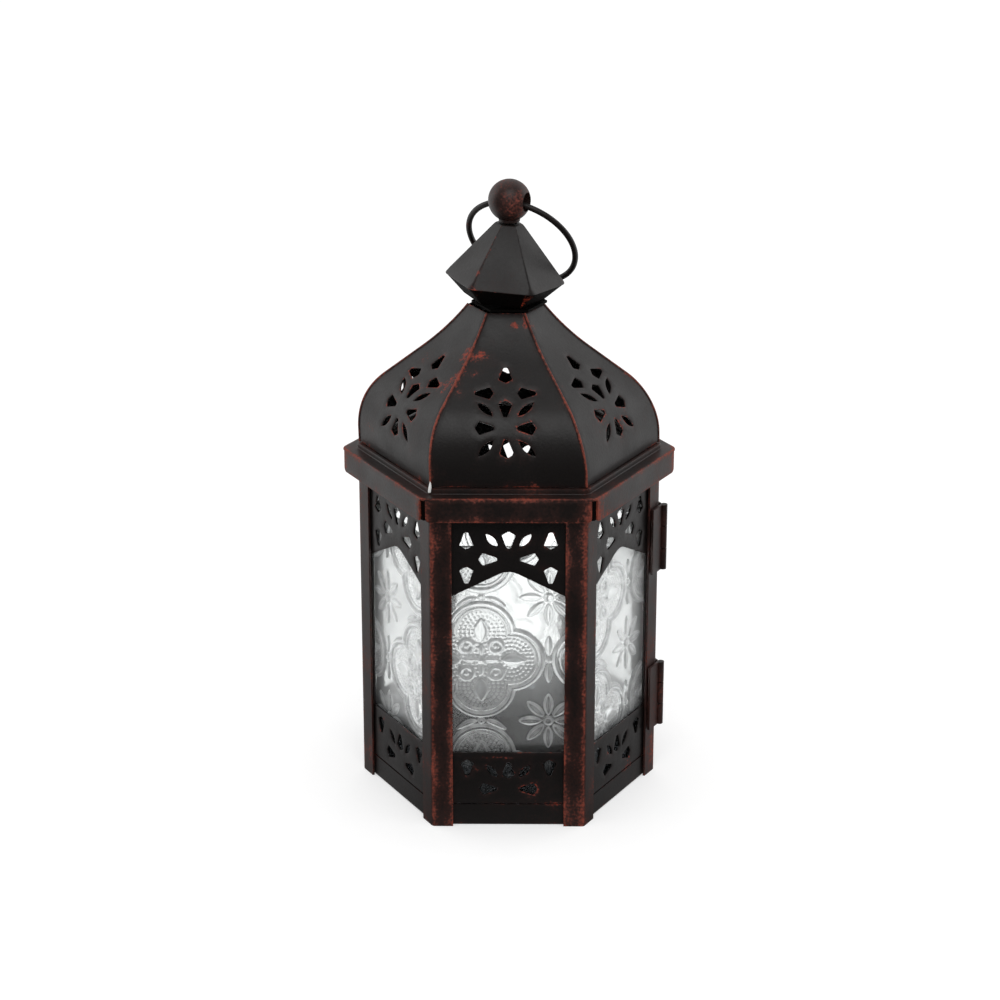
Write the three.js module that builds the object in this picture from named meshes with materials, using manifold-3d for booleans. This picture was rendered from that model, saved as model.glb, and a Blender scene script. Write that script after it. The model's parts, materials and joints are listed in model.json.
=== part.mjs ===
// Hexagonal candle lantern of painted sheet steel: a tray with six corner posts, pierced and glazed
// faces, a cornice, a bulbous roof of six pierced gores, and a cap with a ball and a hanging ring.
// One face is a door. Millimetres, +Z up, origin at the middle of the base, front face towards -Y.
import * as THREE from "three";
import { mergeVertices } from "three/addons/utils/BufferGeometryUtils.js";
import Module from "manifold-3d";

const wasm = await Module();
wasm.setup();

// Sheet and clearances
const sheet = 0.6;
const gap = 0.3;
const doorGap = 0.5;

// Frame: corner posts, base tray and cornice
const bodyWidth = 81.4;
const postHeight = 95;
const postFlange = 5.5;
const hingeSideReturn = 1.6;
const latchSideFlange = 2.6;
const trayWallHeight = 6.15;
const corniceOverhang = 4.3;
const corniceFlap = 6.6;
const cornerSlit = 1.8;
const stepInset = 3.4;
const stepHeight = 1.4;
const ledgeWidth = 2.2;

// Arched windows and the pierced holes
const windowCover = 0.25;
const windowSillRise = 15.45;
const archPeakDrop = 20.6;
const archRise = 7.7;
const archRounding = 2.6;
const kiteLength = 4.9;
const kiteWidth = 3.7;
const kiteTip = 1;
const kiteShoulder = 3.8;
const leafWidth = 2.1;
const panelKiteStart = 3;
const panelLeafStart = 4.4;
const panelLeafLength = 4.9;
const panelLeafTurn = 0.88;
const upperFretRise = 2.8;
const lowerFretDrop = 10.9;
const cornerHoleInset = 3.85;
const upperCornerRise = 2.7;
const lowerCornerDrop = 2;
const sillCornerRise = 8.8;

// Glass panes, their corner keepers and the clips of the door pane
const glassThickness = 2;
const glassTopDrop = 15;
const keeperFlange = 3;
const clipHeight = 4.5;
const doorGlassCover = 0.6;

// Roof profile, measured in a corner plane, and its holes, measured up the middle of a gore
const roofSetBack = 0.87;
const roofSkirt = 3.4;
const shoulderRadius = 20;
const roofSlope = THREE.MathUtils.degToRad(36.7);
const throatRadius = 64;
const throatTurn = THREE.MathUtils.degToRad(15);
const neckRadius = 10;
const rosetteHeight = 15.6;
const topMotifRise = 10;
const roofKiteStart = 3;
const roofLeafStart = 4.6;
const roofLeafLength = 5.8;

// Collar, cap, stem and ball
const capFootRadius = 10.5;
const capRimRadius = 16.2;
const capSkirtHeight = 5.2;
const capRoofHeight = 14.88;
const capTopRadius = 3.6;
const capLean = THREE.MathUtils.degToRad(4.4);
const capTurn = THREE.MathUtils.degToRad(-4);
const stemRadius = 1.5;
const stemGrip = 2.1;
const nutRadius = 3.2;
const nutHeight = 2.4;
const nutStandOff = 1.2;
const ballRadius = 5.6;
const ballNeckRadius = 2.8;
const ballNeckDrop = 0.65;
const ringHolePlay = 0.6;
const ringMouthPlay = 0.1;

// Hanging ring of round wire
const ringRadius = 15;
const ringWire = 1.6;
const ringSag = 0.6;
const ringStandOff = 0.49;
const ringHeading = THREE.MathUtils.degToRad(-24.4);

// Hinges and turn button
const hingeHeight = 18.8;
const upperHingeDrop = 18.5;
const lowerHingeRise = 16.95;
const leafThickness = 0.7;
const fixedLeafReach = 5.1;
const doorLeafReach = 4.5;
const knuckleHeight = 6;
const knuckleRadius = 0.95;
const knuckleStandOff = 0.36;
const pinRadius = 0.45;
const pinClearance = 0.12;
const buttonLength = 8;
const buttonWidth = 2.4;
const buttonDrop = 40.7;
const rivetRadius = 0.5;
const rivetHeadRadius = 1;

// Hexagon ratios: half a side per unit of apothem, and apothem per unit of corner radius
const faceAngle = Math.PI / 3;
const halfSide = Math.tan(Math.PI / 6);
const flatness = Math.cos(Math.PI / 6);

// Layers of a face, as distances of each surface from the lantern's axis
const bodyFace = (bodyWidth / 2) * flatness;
const postBack = bodyFace - sheet;
const panelFace = postBack - gap;
const panelBack = panelFace - sheet;
const glassFace = panelBack - gap;
const glassBack = glassFace - glassThickness;
const keeperFace = glassBack - gap;
const keeperBack = keeperFace - sheet;

// Widths tied to the body: a face's corner and its window, the cornice and the foot of the roof
const faceCorner = bodyFace * halfSide;
const halfWindow = faceCorner - postFlange + windowCover;
const cornerHoleOffset = faceCorner - postFlange - cornerHoleInset;
const corniceRadius = bodyWidth / 2 + corniceOverhang;
const roofRadius = corniceRadius - stepInset / flatness - roofSetBack;

// Heights from the base up
const panelFoot = trayWallHeight + gap;
const glassFoot = sheet + gap;
const flangeBottom = postHeight + gap;
const flangeTop = flangeBottom + sheet;
const flapBottom = flangeTop - corniceFlap;
const ledgeTop = flangeTop + stepHeight;
const roofFoot = ledgeTop + gap;
const doorFoot = trayWallHeight + doorGap;
const doorTop = flapBottom - sheet;
const windowSill = trayWallHeight + windowSillRise;
const archPeak = postHeight - archPeakDrop;
const archShoulder = archPeak - archRise;
const glassTop = postHeight - glassTopDrop;
const buttonCentre = doorTop - buttonDrop;

const paint = new THREE.MeshStandardMaterial({ color: 0x1e1b1a, roughness: 0.5, metalness: 0.3 });
const rubbedPaint = new THREE.MeshStandardMaterial({ color: 0x2a1a16, roughness: 0.55, metalness: 0.3 });
const glass = new THREE.MeshStandardMaterial({
  color: 0xdde6e6,
  roughness: 0.12,
  metalness: 0,
  transparent: true,
  opacity: 0.35,
});
const steel = new THREE.MeshStandardMaterial({ color: 0x34302e, roughness: 0.4, metalness: 0.7 });

const lantern = new THREE.Group();

function addPiece(group, name, geometry, material) {
  const piece = new THREE.Mesh(geometry, material);
  piece.name = name;
  group.add(piece);
}

// Solids for cutting and joining
function toSolid(geometry) {
  geometry.deleteAttribute("normal");
  geometry.deleteAttribute("uv");
  const merged = mergeVertices(geometry, 1e-4);
  const mesh = new wasm.Mesh({
    numProp: 3,
    vertProperties: new Float32Array(merged.attributes.position.array),
    triVerts: new Uint32Array(merged.index.array),
  });
  return new wasm.Manifold(mesh);
}

function toGeometry(solid) {
  const mesh = solid.getMesh();
  const geometry = new THREE.BufferGeometry();
  geometry.setAttribute("position", new THREE.BufferAttribute(mesh.vertProperties, 3));
  geometry.setIndex(new THREE.BufferAttribute(mesh.triVerts, 1));
  geometry.computeVertexNormals();
  return geometry;
}

function cut(body, ...tools) {
  return toGeometry(tools.reduce((solid, tool) => solid.subtract(toSolid(tool)), toSolid(body)));
}

function join(...parts) {
  const solids = parts.map(toSolid);
  return toGeometry(solids.reduce((whole, solid) => whole.add(solid)));
}

// Basic forms
function hexagon(apothem) {
  const corners = [];
  for (let i = 0; i < 6; i += 1) {
    const angle = i * faceAngle;
    corners.push(new THREE.Vector2(Math.cos(angle), Math.sin(angle)).multiplyScalar(apothem / flatness));
  }
  return new THREE.Shape(corners);
}

function polygon(...points) {
  return new THREE.Shape(points.map(([x, y]) => new THREE.Vector2(x, y)));
}

function rectangle(left, bottom, right, top) {
  return polygon([left, bottom], [right, bottom], [right, top], [left, top]);
}

function upright(shape, bottom, top) {
  const geometry = new THREE.ExtrudeGeometry(shape, { depth: top - bottom, bevelEnabled: false });
  return geometry.translate(0, 0, bottom);
}

// A flat piece of a face: an outline seen from outside, between two distances from the axis
function facePlate(shape, back, face) {
  const geometry = new THREE.ExtrudeGeometry(shape, { depth: face - back, bevelEnabled: false });
  return geometry.rotateX(Math.PI / 2).translate(0, -back, 0);
}

// A plan outline of a face given as (along the face, distance from the axis), stood up in height
function facePost(points, bottom, top) {
  return upright(polygon(...points.map(([along, distance]) => [along, -distance])), bottom, top);
}

function rod(radius, bottom, top, segments = 16) {
  const geometry = new THREE.CylinderGeometry(radius, radius, top - bottom, segments);
  return geometry.rotateX(Math.PI / 2).translate(0, 0, (bottom + top) / 2);
}

function taperedHexagon(bottomRadius, bottom, topRadius, top) {
  const geometry = new THREE.CylinderGeometry(topRadius, bottomRadius, top - bottom, 6);
  return geometry.rotateX(Math.PI / 2).rotateZ(Math.PI / 6).translate(0, 0, (bottom + top) / 2);
}

// Outlines of the pierced holes: each starts at its inner end and points along a direction
function placed(points, start, direction) {
  const origin = new THREE.Vector2();
  return points.map(([x, y]) => new THREE.Vector2(x, y).rotateAround(origin, direction).add(start));
}

function kite(start, direction, tipInwards = true) {
  const outline = [
    [0, -kiteTip / 2],
    [kiteShoulder, -kiteWidth / 2],
    [kiteLength, 0],
    [kiteShoulder, kiteWidth / 2],
    [0, kiteTip / 2],
  ];
  const points = tipInwards ? outline : outline.map(([x, y]) => [kiteLength - x, -y]);
  return placed(points, start, direction);
}

function leaf(start, direction, length) {
  const points = [
    [0, 0],
    [length * 0.32, -leafWidth * 0.45],
    [length * 0.68, -leafWidth * 0.45],
    [length, 0],
    [length * 0.68, leafWidth * 0.45],
    [length * 0.32, leafWidth * 0.45],
  ];
  return placed(points, start, direction);
}

function fromCentre(centre, direction, distance) {
  return new THREE.Vector2(Math.cos(direction), Math.sin(direction)).multiplyScalar(distance).add(centre);
}

// Half rosette over a centre: a kite each side and one above, with a leaf between
function halfRosette(centre, topTipInwards) {
  const holes = [0, Math.PI].map((turn) => kite(fromCentre(centre, turn, panelKiteStart), turn));
  holes.push(kite(fromCentre(centre, Math.PI / 2, panelKiteStart), Math.PI / 2, topTipInwards));
  for (const turn of [panelLeafTurn, Math.PI - panelLeafTurn]) {
    holes.push(leaf(fromCentre(centre, turn, panelLeafStart), turn, panelLeafLength));
  }
  return holes;
}

function cornerKites(height, tipUp) {
  const turn = tipUp ? Math.PI / 2 : -Math.PI / 2;
  return [-1, 1].map((side) => {
    const start = new THREE.Vector2(side * cornerHoleOffset, height);
    return kite(start, turn, false);
  });
}

// Pierced panel with an arched window between a left and a right edge
function piercedPanel(left, bottom, right, top) {
  const shape = rectangle(left, bottom, right, top);
  const slope = (archPeak - archShoulder) / halfWindow;
  const window = new THREE.Path();
  window.moveTo(-halfWindow, windowSill);
  window.lineTo(halfWindow, windowSill);
  window.lineTo(halfWindow, archShoulder);
  window.lineTo(archRounding, archPeak - slope * archRounding);
  window.quadraticCurveTo(0, archPeak, -archRounding, archPeak - slope * archRounding);
  window.lineTo(-halfWindow, archShoulder);
  window.closePath();
  const upperCentre = new THREE.Vector2(0, archPeak + upperFretRise);
  const lowerCentre = new THREE.Vector2(0, windowSill - lowerFretDrop);
  const holes = [
    ...halfRosette(upperCentre, true),
    ...cornerKites(upperCentre.y + upperCornerRise, true),
    ...cornerKites(upperCentre.y - lowerCornerDrop, false),
    ...halfRosette(lowerCentre, false),
    ...cornerKites(lowerCentre.y + sillCornerRise, false),
  ];
  shape.holes = [window, ...holes.map((hole) => new THREE.Path(hole))];
  shape.curveSegments = 6;
  return shape;
}

// Base tray: a hexagonal pan whose upturned wall stands in line with the panels
function makeTray() {
  const pan = upright(hexagon(panelFace), 0, trayWallHeight);
  const hollow = upright(hexagon(panelBack), sheet, trayWallHeight + sheet);
  addPiece(lantern, "base_tray", cut(pan, hollow), paint);
}

// Corner posts: a strip folded along its length, with a flange on each of two faces
const corners = ["right", "rear_right", "rear_left", "left", "front_left", "front_right"];

// Section of a folded strip at the corner on +X, with its outer sides on two faces at one distance
function foldedSection(faceDistance, flangeBefore, flangeAfter) {
  const tip = new THREE.Vector2(faceDistance / flatness, 0);
  const inner = new THREE.Vector2((faceDistance - sheet) / flatness, 0);
  const flange = (side, length) => {
    const end = new THREE.Vector2(-0.5, side * flatness).multiplyScalar(length).add(tip);
    const back = new THREE.Vector2(-flatness, -side * 0.5).multiplyScalar(sheet).add(end);
    return [end, back];
  };
  const after = flangeAfter > 0 ? flange(1, flangeAfter) : [];
  const before = flangeBefore > 0 ? flange(-1, flangeBefore).reverse() : [];
  return new THREE.Shape([tip, ...after, inner, ...before]);
}

function makePosts() {
  corners.forEach((name, index) => {
    const before = name === "rear_right" ? latchSideFlange : postFlange;
    const after = name === "right" ? hingeSideReturn : postFlange;
    let post = upright(foldedSection(bodyFace, before, after), 0, postHeight);
    if (name === "rear_right") {
      const hole = rod(rivetRadius + pinClearance, -sheet, 2 * sheet, 12).rotateX(Math.PI / 2);
      hole.rotateZ(-faceAngle / 2 + Math.PI / 2);
      const seat = new THREE.Vector3(postBack, buttonPivot(), 0).applyAxisAngle(
        new THREE.Vector3(0, 0, 1),
        -faceAngle / 2,
      );
      post = cut(post, hole.translate(seat.x, seat.y, buttonCentre));
    }
    post.rotateZ(index * faceAngle);
    addPiece(lantern, `post_${name}`, post, rubbedPaint);
  });
}

// Distance of the turn button's rivet along the door face, in the middle of the post's flange
function buttonPivot() {
  return faceCorner - latchSideFlange / 2;
}

// Fixed faces: a pierced panel standing on the tray wall and a pane standing in the tray
const faces = ["front", "front_right", "rear_right", "rear", "rear_left", "front_left"];
const doorIndex = faces.indexOf("rear_right");

function faceGroup(index) {
  const group = new THREE.Group();
  group.rotation.z = index * faceAngle;
  lantern.add(group);
  return group;
}

function makeFaces() {
  const panelHalf = panelBack * halfSide - gap;
  const glassHalf = glassBack * halfSide - gap;
  faces.forEach((name, index) => {
    if (index === doorIndex) {
      return;
    }
    const group = faceGroup(index);
    const panel = piercedPanel(-panelHalf, panelFoot, panelHalf, postHeight);
    addPiece(group, `panel_${name}`, facePlate(panel, panelBack, panelFace), paint);
    const pane = rectangle(-glassHalf, glassFoot, glassHalf, glassTop);
    addPiece(group, `glass_${name}`, facePlate(pane, glassBack, glassFace), glass);
  });
}

// Glass keepers: strips folded like the posts, standing in the corners of the tray inside the panes
function makeKeepers() {
  corners.forEach((name, index) => {
    const before = name === "rear_right" ? 0 : keeperFlange;
    const after = name === "right" ? 0 : keeperFlange;
    const keeper = upright(foldedSection(keeperFace, before, after), glassFoot, glassTop);
    addPiece(lantern, `glass_keeper_${name}`, keeper.rotateZ(index * faceAngle), steel);
  });
}

// Cornice: one sheet with six flaps folded down, slit at the corners, and a raised step for the roof
function makeCornice() {
  const outer = corniceRadius * flatness;
  const riser = outer - stepInset;
  const ledgeInner = riser - ledgeWidth;
  const body = join(
    upright(hexagon(outer), flapBottom, flangeTop),
    upright(hexagon(riser), flangeBottom, ledgeTop),
  );
  const tools = [
    upright(hexagon(outer - sheet), flapBottom - sheet, flangeBottom),
    upright(hexagon(riser - sheet), flapBottom - sheet, ledgeTop - sheet),
    upright(hexagon(ledgeInner), flapBottom - sheet, ledgeTop + sheet),
  ];
  const near = corniceRadius - 2 * cornerSlit;
  const far = corniceRadius + cornerSlit;
  for (let i = 0; i < 6; i += 1) {
    const slit = rectangle(near, -cornerSlit / 2, far, cornerSlit / 2);
    tools.push(upright(slit, flapBottom - sheet, flangeBottom).rotateZ(i * faceAngle));
  }
  addPiece(lantern, "cornice", cut(body, ...tools), rubbedPaint);
}

// Roof profile in a corner plane: upright skirt, shoulder, straight slope and hollow throat
function roofProfile() {
  const turn = Math.PI / 2 - roofSlope;
  const points = [new THREE.Vector2(roofRadius, roofFoot)];
  const shoulderSteps = 9;
  for (let i = 0; i <= shoulderSteps; i += 1) {
    const angle = (turn * i) / shoulderSteps;
    const inset = shoulderRadius * (1 - Math.cos(angle));
    const rise = roofSkirt + shoulderRadius * Math.sin(angle);
    points.push(new THREE.Vector2(roofRadius - inset, roofFoot + rise));
  }
  const throatEnd = roofSlope + throatTurn;
  const throatRun = throatRadius * (Math.sin(throatEnd) - Math.sin(roofSlope));
  const start = points[points.length - 1];
  const straightRun = start.x - throatRun - neckRadius;
  const bend = new THREE.Vector2(start.x - straightRun, start.y + straightRun * Math.tan(roofSlope));
  const throatSteps = 4;
  for (let i = 0; i <= throatSteps; i += 1) {
    const angle = roofSlope + (throatTurn * i) / throatSteps;
    const run = throatRadius * (Math.sin(angle) - Math.sin(roofSlope));
    const rise = throatRadius * (Math.cos(roofSlope) - Math.cos(angle));
    points.push(new THREE.Vector2(bend.x - run, bend.y + rise));
  }
  return points;
}

const roofLine = roofProfile();
const roofTop = roofLine[roofLine.length - 1].y;

// The same profile up the middle of a gore, as (distance from the axis, height)
const goreLine = roofLine.map((point) => new THREE.Vector2(point.x * flatness, point.y));

function pointUpGore(distance) {
  let left = distance;
  for (let i = 1; i < goreLine.length; i += 1) {
    const length = goreLine[i].distanceTo(goreLine[i - 1]);
    const direction = goreLine[i].clone().sub(goreLine[i - 1]).normalize();
    if (left <= length || i === goreLine.length - 1) {
      return { point: goreLine[i - 1].clone().addScaledVector(direction, left), direction };
    }
    left -= length;
  }
  return null;
}

function innerGoreLine() {
  return goreLine.map((point, i) => {
    const before = goreLine[Math.max(i - 1, 0)];
    const after = goreLine[Math.min(i + 1, goreLine.length - 1)];
    const direction = after.clone().sub(before).normalize();
    return new THREE.Vector2(point.x - direction.y * sheet, point.y + direction.x * sheet);
  });
}

// Cutter for one hole, square to the gore where the hole's middle lies
function goreCutter(outline) {
  const middle = new THREE.Vector2();
  outline.forEach((point) => middle.addScaledVector(point, 1 / outline.length));
  const local = outline.map((point) => point.clone().sub(middle));
  const depth = 6 * sheet;
  const geometry = new THREE.ExtrudeGeometry(new THREE.Shape(local), { depth, bevelEnabled: false });
  geometry.translate(0, 0, -depth / 2);
  const { point, direction } = pointUpGore(middle.y);
  const up = new THREE.Vector3(0, -direction.x, direction.y);
  const right = new THREE.Vector3(1, 0, 0);
  const basis = new THREE.Matrix4().makeBasis(right, up, right.clone().cross(up));
  basis.setPosition(middle.x, -point.x, point.y);
  return geometry.applyMatrix4(basis);
}

function goreHoles() {
  const rosette = new THREE.Vector2(0, rosetteHeight);
  const motif = new THREE.Vector2(0, rosetteHeight + topMotifRise);
  const holes = [];
  for (let i = 0; i < 4; i += 1) {
    const turn = (i * Math.PI) / 2;
    holes.push(kite(fromCentre(rosette, turn, roofKiteStart), turn));
    const diagonal = turn + Math.PI / 4;
    holes.push(leaf(fromCentre(rosette, diagonal, roofLeafStart), diagonal, roofLeafLength));
  }
  for (const turn of [0, Math.PI / 2, Math.PI]) {
    holes.push(kite(fromCentre(motif, turn, roofKiteStart), turn, false));
  }
  return holes;
}

function makeRoof() {
  const width = 2 * roofRadius * flatness;
  const band = new THREE.Shape([...goreLine, ...innerGoreLine().reverse()]);
  const strip = new THREE.ExtrudeGeometry(band, { depth: width, bevelEnabled: false });
  const outward = new THREE.Vector3(0, -1, 0);
  const upward = new THREE.Vector3(0, 0, 1);
  const sideways = outward.clone().cross(upward);
  strip.applyMatrix4(new THREE.Matrix4().makeBasis(outward, upward, sideways)).translate(width / 2, 0, 0);
  const seam = gap / 2 / flatness;
  const far = 2 * roofRadius;
  const wedge = polygon(
    [0, -seam / halfSide],
    [-far * halfSide + seam, -far],
    [far * halfSide - seam, -far],
  );
  const trimmed = toSolid(strip).intersect(toSolid(upright(wedge, roofFoot - sheet, roofTop + sheet)));
  const cutters = goreHoles().map((hole) => toSolid(goreCutter(hole)));
  const pierced = cutters.reduce((solid, cutter) => solid.subtract(cutter), trimmed);
  faces.forEach((name, index) => {
    addPiece(faceGroup(index), `roof_gore_${name}`, toGeometry(pierced), paint);
  });
}

// Crown: collar on the gores, leaning two-part cap, stem with its nut, and the ball
const collarBottom = roofTop + gap;
const collarTop = collarBottom + sheet;
const capHeight = capSkirtHeight + capRoofHeight;
const capFoot = collarTop + gap + capFootRadius * Math.sin(capLean);
const capTop = capFoot + capHeight * Math.cos(capLean);
const ballSeat = capTop + capTopRadius * Math.sin(capLean) + gap;
const ballFlatDrop = Math.sqrt(ballRadius ** 2 - ballNeckRadius ** 2);
const ballCentre = ballSeat + ballNeckDrop + ballFlatDrop;
const capSway = capHeight * Math.sin(capLean);

// The ring's cross hole widens to its mouths, because the wire curves down on either side
const ringHoleRadius = ringSag + ringWire / 2 + ringHolePlay;
const ringDip = ringRadius - Math.sqrt(ringRadius ** 2 - ballRadius ** 2);
const ringHoleMouth = ringSag + ringWire / 2 + ringDip + ringMouthPlay;

// The ring leans back on the cap: at the height of the rim its wire stands off from the rim's corners
const ringPivot = ballCentre - ringSag;
const rimDrop = ringPivot - (capTop - capRoofHeight * Math.cos(capLean));
const rimReach = capRimRadius + ringWire / 2 + ringStandOff;
const ringTilt = Math.acos((2 * ringRadius * rimDrop) / (rimReach ** 2 + rimDrop ** 2));

function makeCap() {
  const cap = new THREE.Group();
  cap.position.set(0, 0, capTop);
  cap.rotation.set(0, capLean, 0);
  lantern.add(cap);
  const turned = new THREE.Group();
  turned.rotation.z = capTurn;
  cap.add(turned);
  const rim = -capRoofHeight;
  const foot = -capHeight;
  const wall = sheet / flatness;
  const skirtRim = rim - gap / 2;
  const skirt = cut(
    taperedHexagon(capFootRadius, foot, capRimRadius, skirtRim),
    taperedHexagon(capFootRadius - wall, foot + sheet, capRimRadius - wall, skirtRim + sheet),
    rod(stemRadius + capSway + gap, foot - sheet, foot + 2 * sheet),
  );
  addPiece(turned, "cap_skirt", skirt, paint);
  const roofRim = rim + gap / 2;
  const roof = cut(
    taperedHexagon(capRimRadius, roofRim, capTopRadius, 0),
    taperedHexagon(capRimRadius - wall, roofRim - sheet, capTopRadius - wall, -sheet),
    rod(stemRadius + gap + sheet * Math.tan(capLean), -2 * sheet, sheet),
  );
  addPiece(turned, "cap_roof", roof, paint);
}

function makeStem() {
  const stemHole = () => rod(stemRadius + gap, roofFoot, ballCentre);
  const collar = upright(hexagon(neckRadius * flatness), collarBottom, collarTop);
  addPiece(lantern, "neck_collar", cut(collar, stemHole()), paint);
  const nutTop = collarBottom - gap;
  const nut = taperedHexagon(nutRadius, nutTop - nutHeight, nutRadius, nutTop);
  addPiece(lantern, "stem_nut", cut(nut, stemHole()), steel);
  const stem = rod(stemRadius, nutTop - nutHeight - nutStandOff, ballSeat + stemGrip);
  addPiece(lantern, "finial_stem", stem, steel);
}

function makeBall() {
  const profile = [new THREE.Vector2(0, ballSeat), new THREE.Vector2(ballNeckRadius, ballSeat)];
  const start = -Math.asin(ballFlatDrop / ballRadius);
  const steps = 10;
  for (let i = 0; i < steps; i += 1) {
    const angle = start + ((Math.PI / 2 - start) * i) / steps;
    const radius = ballRadius * Math.cos(angle);
    profile.push(new THREE.Vector2(radius, ballCentre + ballRadius * Math.sin(angle)));
  }
  profile.push(new THREE.Vector2(0, ballCentre + ballRadius));
  const ball = new THREE.LatheGeometry(profile, 24).rotateX(Math.PI / 2);
  const halfBore = (end) => {
    const [left, right] = end < 0 ? [ringHoleMouth, ringHoleRadius] : [ringHoleRadius, ringHoleMouth];
    const bore = new THREE.CylinderGeometry(right, left, ballRadius, 16).rotateZ(-Math.PI / 2);
    return bore.translate((end * ballRadius) / 2, 0, 0);
  };
  const bores = [-1, 1].map((end) => halfBore(end).rotateZ(ringHeading).translate(0, 0, ballCentre));
  const stemHole = rod(stemRadius + gap, ballSeat - gap, ballSeat + stemGrip + gap);
  addPiece(lantern, "finial_ball", cut(ball, ...bores, stemHole), rubbedPaint);
}

// Hanging ring: it hangs in the ball's cross hole
function makeRing() {
  const swing = new THREE.Group();
  swing.position.set(0, 0, ringPivot);
  swing.rotation.order = "ZXY";
  swing.rotation.set(ringTilt, 0, ringHeading);
  lantern.add(swing);
  const ring = new THREE.TorusGeometry(ringRadius, ringWire / 2, 8, 48).rotateX(Math.PI / 2);
  addPiece(swing, "hanging_ring", ring.translate(0, 0, -ringRadius), paint);
}

// Hinges at the right corner: the pin stands straight out from the corner, so that it is as far along
// and as far in front of the front right face as of the door
const hingeRadius = bodyWidth / 2 + knuckleStandOff + knuckleRadius;
const hingeSpot = new THREE.Vector2(hingeRadius / 2, hingeRadius * flatness);

// A leaf in front of one face, with its knuckles; side says on which end of the face the pin stands
function hingeLeaf(side, reach, bottom, top, knuckles) {
  const face = bodyFace + gap;
  const start = faceCorner - reach;
  const plate = (end, low, high) => {
    const [left, right] = side > 0 ? [start, end] : [-end, -start];
    return facePlate(rectangle(left, low, right, high), face, face + leafThickness);
  };
  const atPin = (radius, low, high) => rod(radius, low, high).translate(side * hingeSpot.x, -hingeSpot.y, 0);
  const parts = [plate(hingeSpot.x - knuckleRadius - gap, bottom, top)];
  for (const [low, high] of knuckles) {
    parts.push(plate(hingeSpot.x, low, high), atPin(knuckleRadius, low, high));
  }
  return cut(join(...parts), atPin(pinRadius + pinClearance, bottom - gap, top + gap));
}

function makeHinges(fixedGroup, doorGroup) {
  const centres = [["upper", doorTop - upperHingeDrop], ["lower", doorFoot + lowerHingeRise]];
  for (const [name, centre] of centres) {
    const bottom = centre - hingeHeight / 2;
    const top = centre + hingeHeight / 2;
    const midBottom = bottom + knuckleHeight + gap;
    const midTop = top - knuckleHeight - gap;
    const ends = [[bottom, midBottom - gap], [midTop + gap, top]];
    const fixedLeaf = hingeLeaf(1, fixedLeafReach, bottom, top, ends);
    addPiece(fixedGroup, `hinge_${name}_fixed_leaf`, fixedLeaf, paint);
    const doorLeaf = hingeLeaf(-1, doorLeafReach, bottom, top, [[midBottom, midTop]]);
    addPiece(doorGroup, `hinge_${name}_door_leaf`, doorLeaf, paint);
    const pin = rod(pinRadius, bottom, top).translate(hingeSpot.x, -hingeSpot.y, 0);
    addPiece(fixedGroup, `hinge_${name}_pin`, pin, steel);
  }
}

// Door: pierced panel between two stiles, with a pane held in folded clips
function makeDoor(group) {
  const stileLeft = -faceCorner + hingeSideReturn + doorGap;
  const stileRight = faceCorner - latchSideFlange - doorGap;
  const opening = faceCorner - postFlange;
  const panel = piercedPanel(stileLeft, doorFoot, stileRight - gap, doorTop);
  addPiece(group, "door_panel", facePlate(panel, panelBack, panelFace), paint);
  const hingeStile = rectangle(stileLeft, doorFoot, -opening, doorTop);
  addPiece(group, "door_hinge_stile", facePlate(hingeStile, postBack, bodyFace), rubbedPaint);
  const freeStile = rectangle(opening, doorFoot, stileRight, doorTop);
  addPiece(group, "door_free_stile", facePlate(freeStile, postBack, bodyFace), rubbedPaint);
  const glassHalf = halfWindow + doorGlassCover;
  const clipBottom = doorFoot + gap;
  const paneBottom = clipBottom + sheet + gap;
  const pane = rectangle(-glassHalf, paneBottom, glassHalf, glassTop);
  addPiece(group, "door_glass", facePlate(pane, glassBack, glassFace), glass);
  const webInner = glassHalf + gap;
  const webOuter = webInner + sheet;
  const flangeInner = webOuter - keeperFlange;
  for (const [name, side] of [["left", -1], ["right", 1]]) {
    const section = [
      [side * webInner, glassFace],
      [side * webOuter, glassFace],
      [side * webOuter, keeperBack],
      [side * flangeInner, keeperBack],
      [side * flangeInner, keeperFace],
      [side * webInner, keeperFace],
    ];
    const clip = facePost(side > 0 ? section.reverse() : section, clipBottom, glassTop);
    addPiece(group, `door_glass_clip_${name}`, clip, steel);
  }
  const halfClip = flangeInner - gap;
  const bottomClip = join(
    facePlate(rectangle(-halfClip, clipBottom, halfClip, clipBottom + sheet), keeperBack, glassFace),
    facePlate(rectangle(-halfClip, clipBottom, halfClip, clipBottom + clipHeight), keeperBack, keeperFace),
  );
  addPiece(group, "door_glass_clip_bottom", bottomClip, steel);
  const lintelHalf = panelBack * halfSide - gap;
  const lintel = rectangle(-lintelHalf, doorTop + doorGap, lintelHalf, postHeight);
  addPiece(group, "door_lintel", facePlate(lintel, panelBack, panelFace), paint);
}

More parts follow.
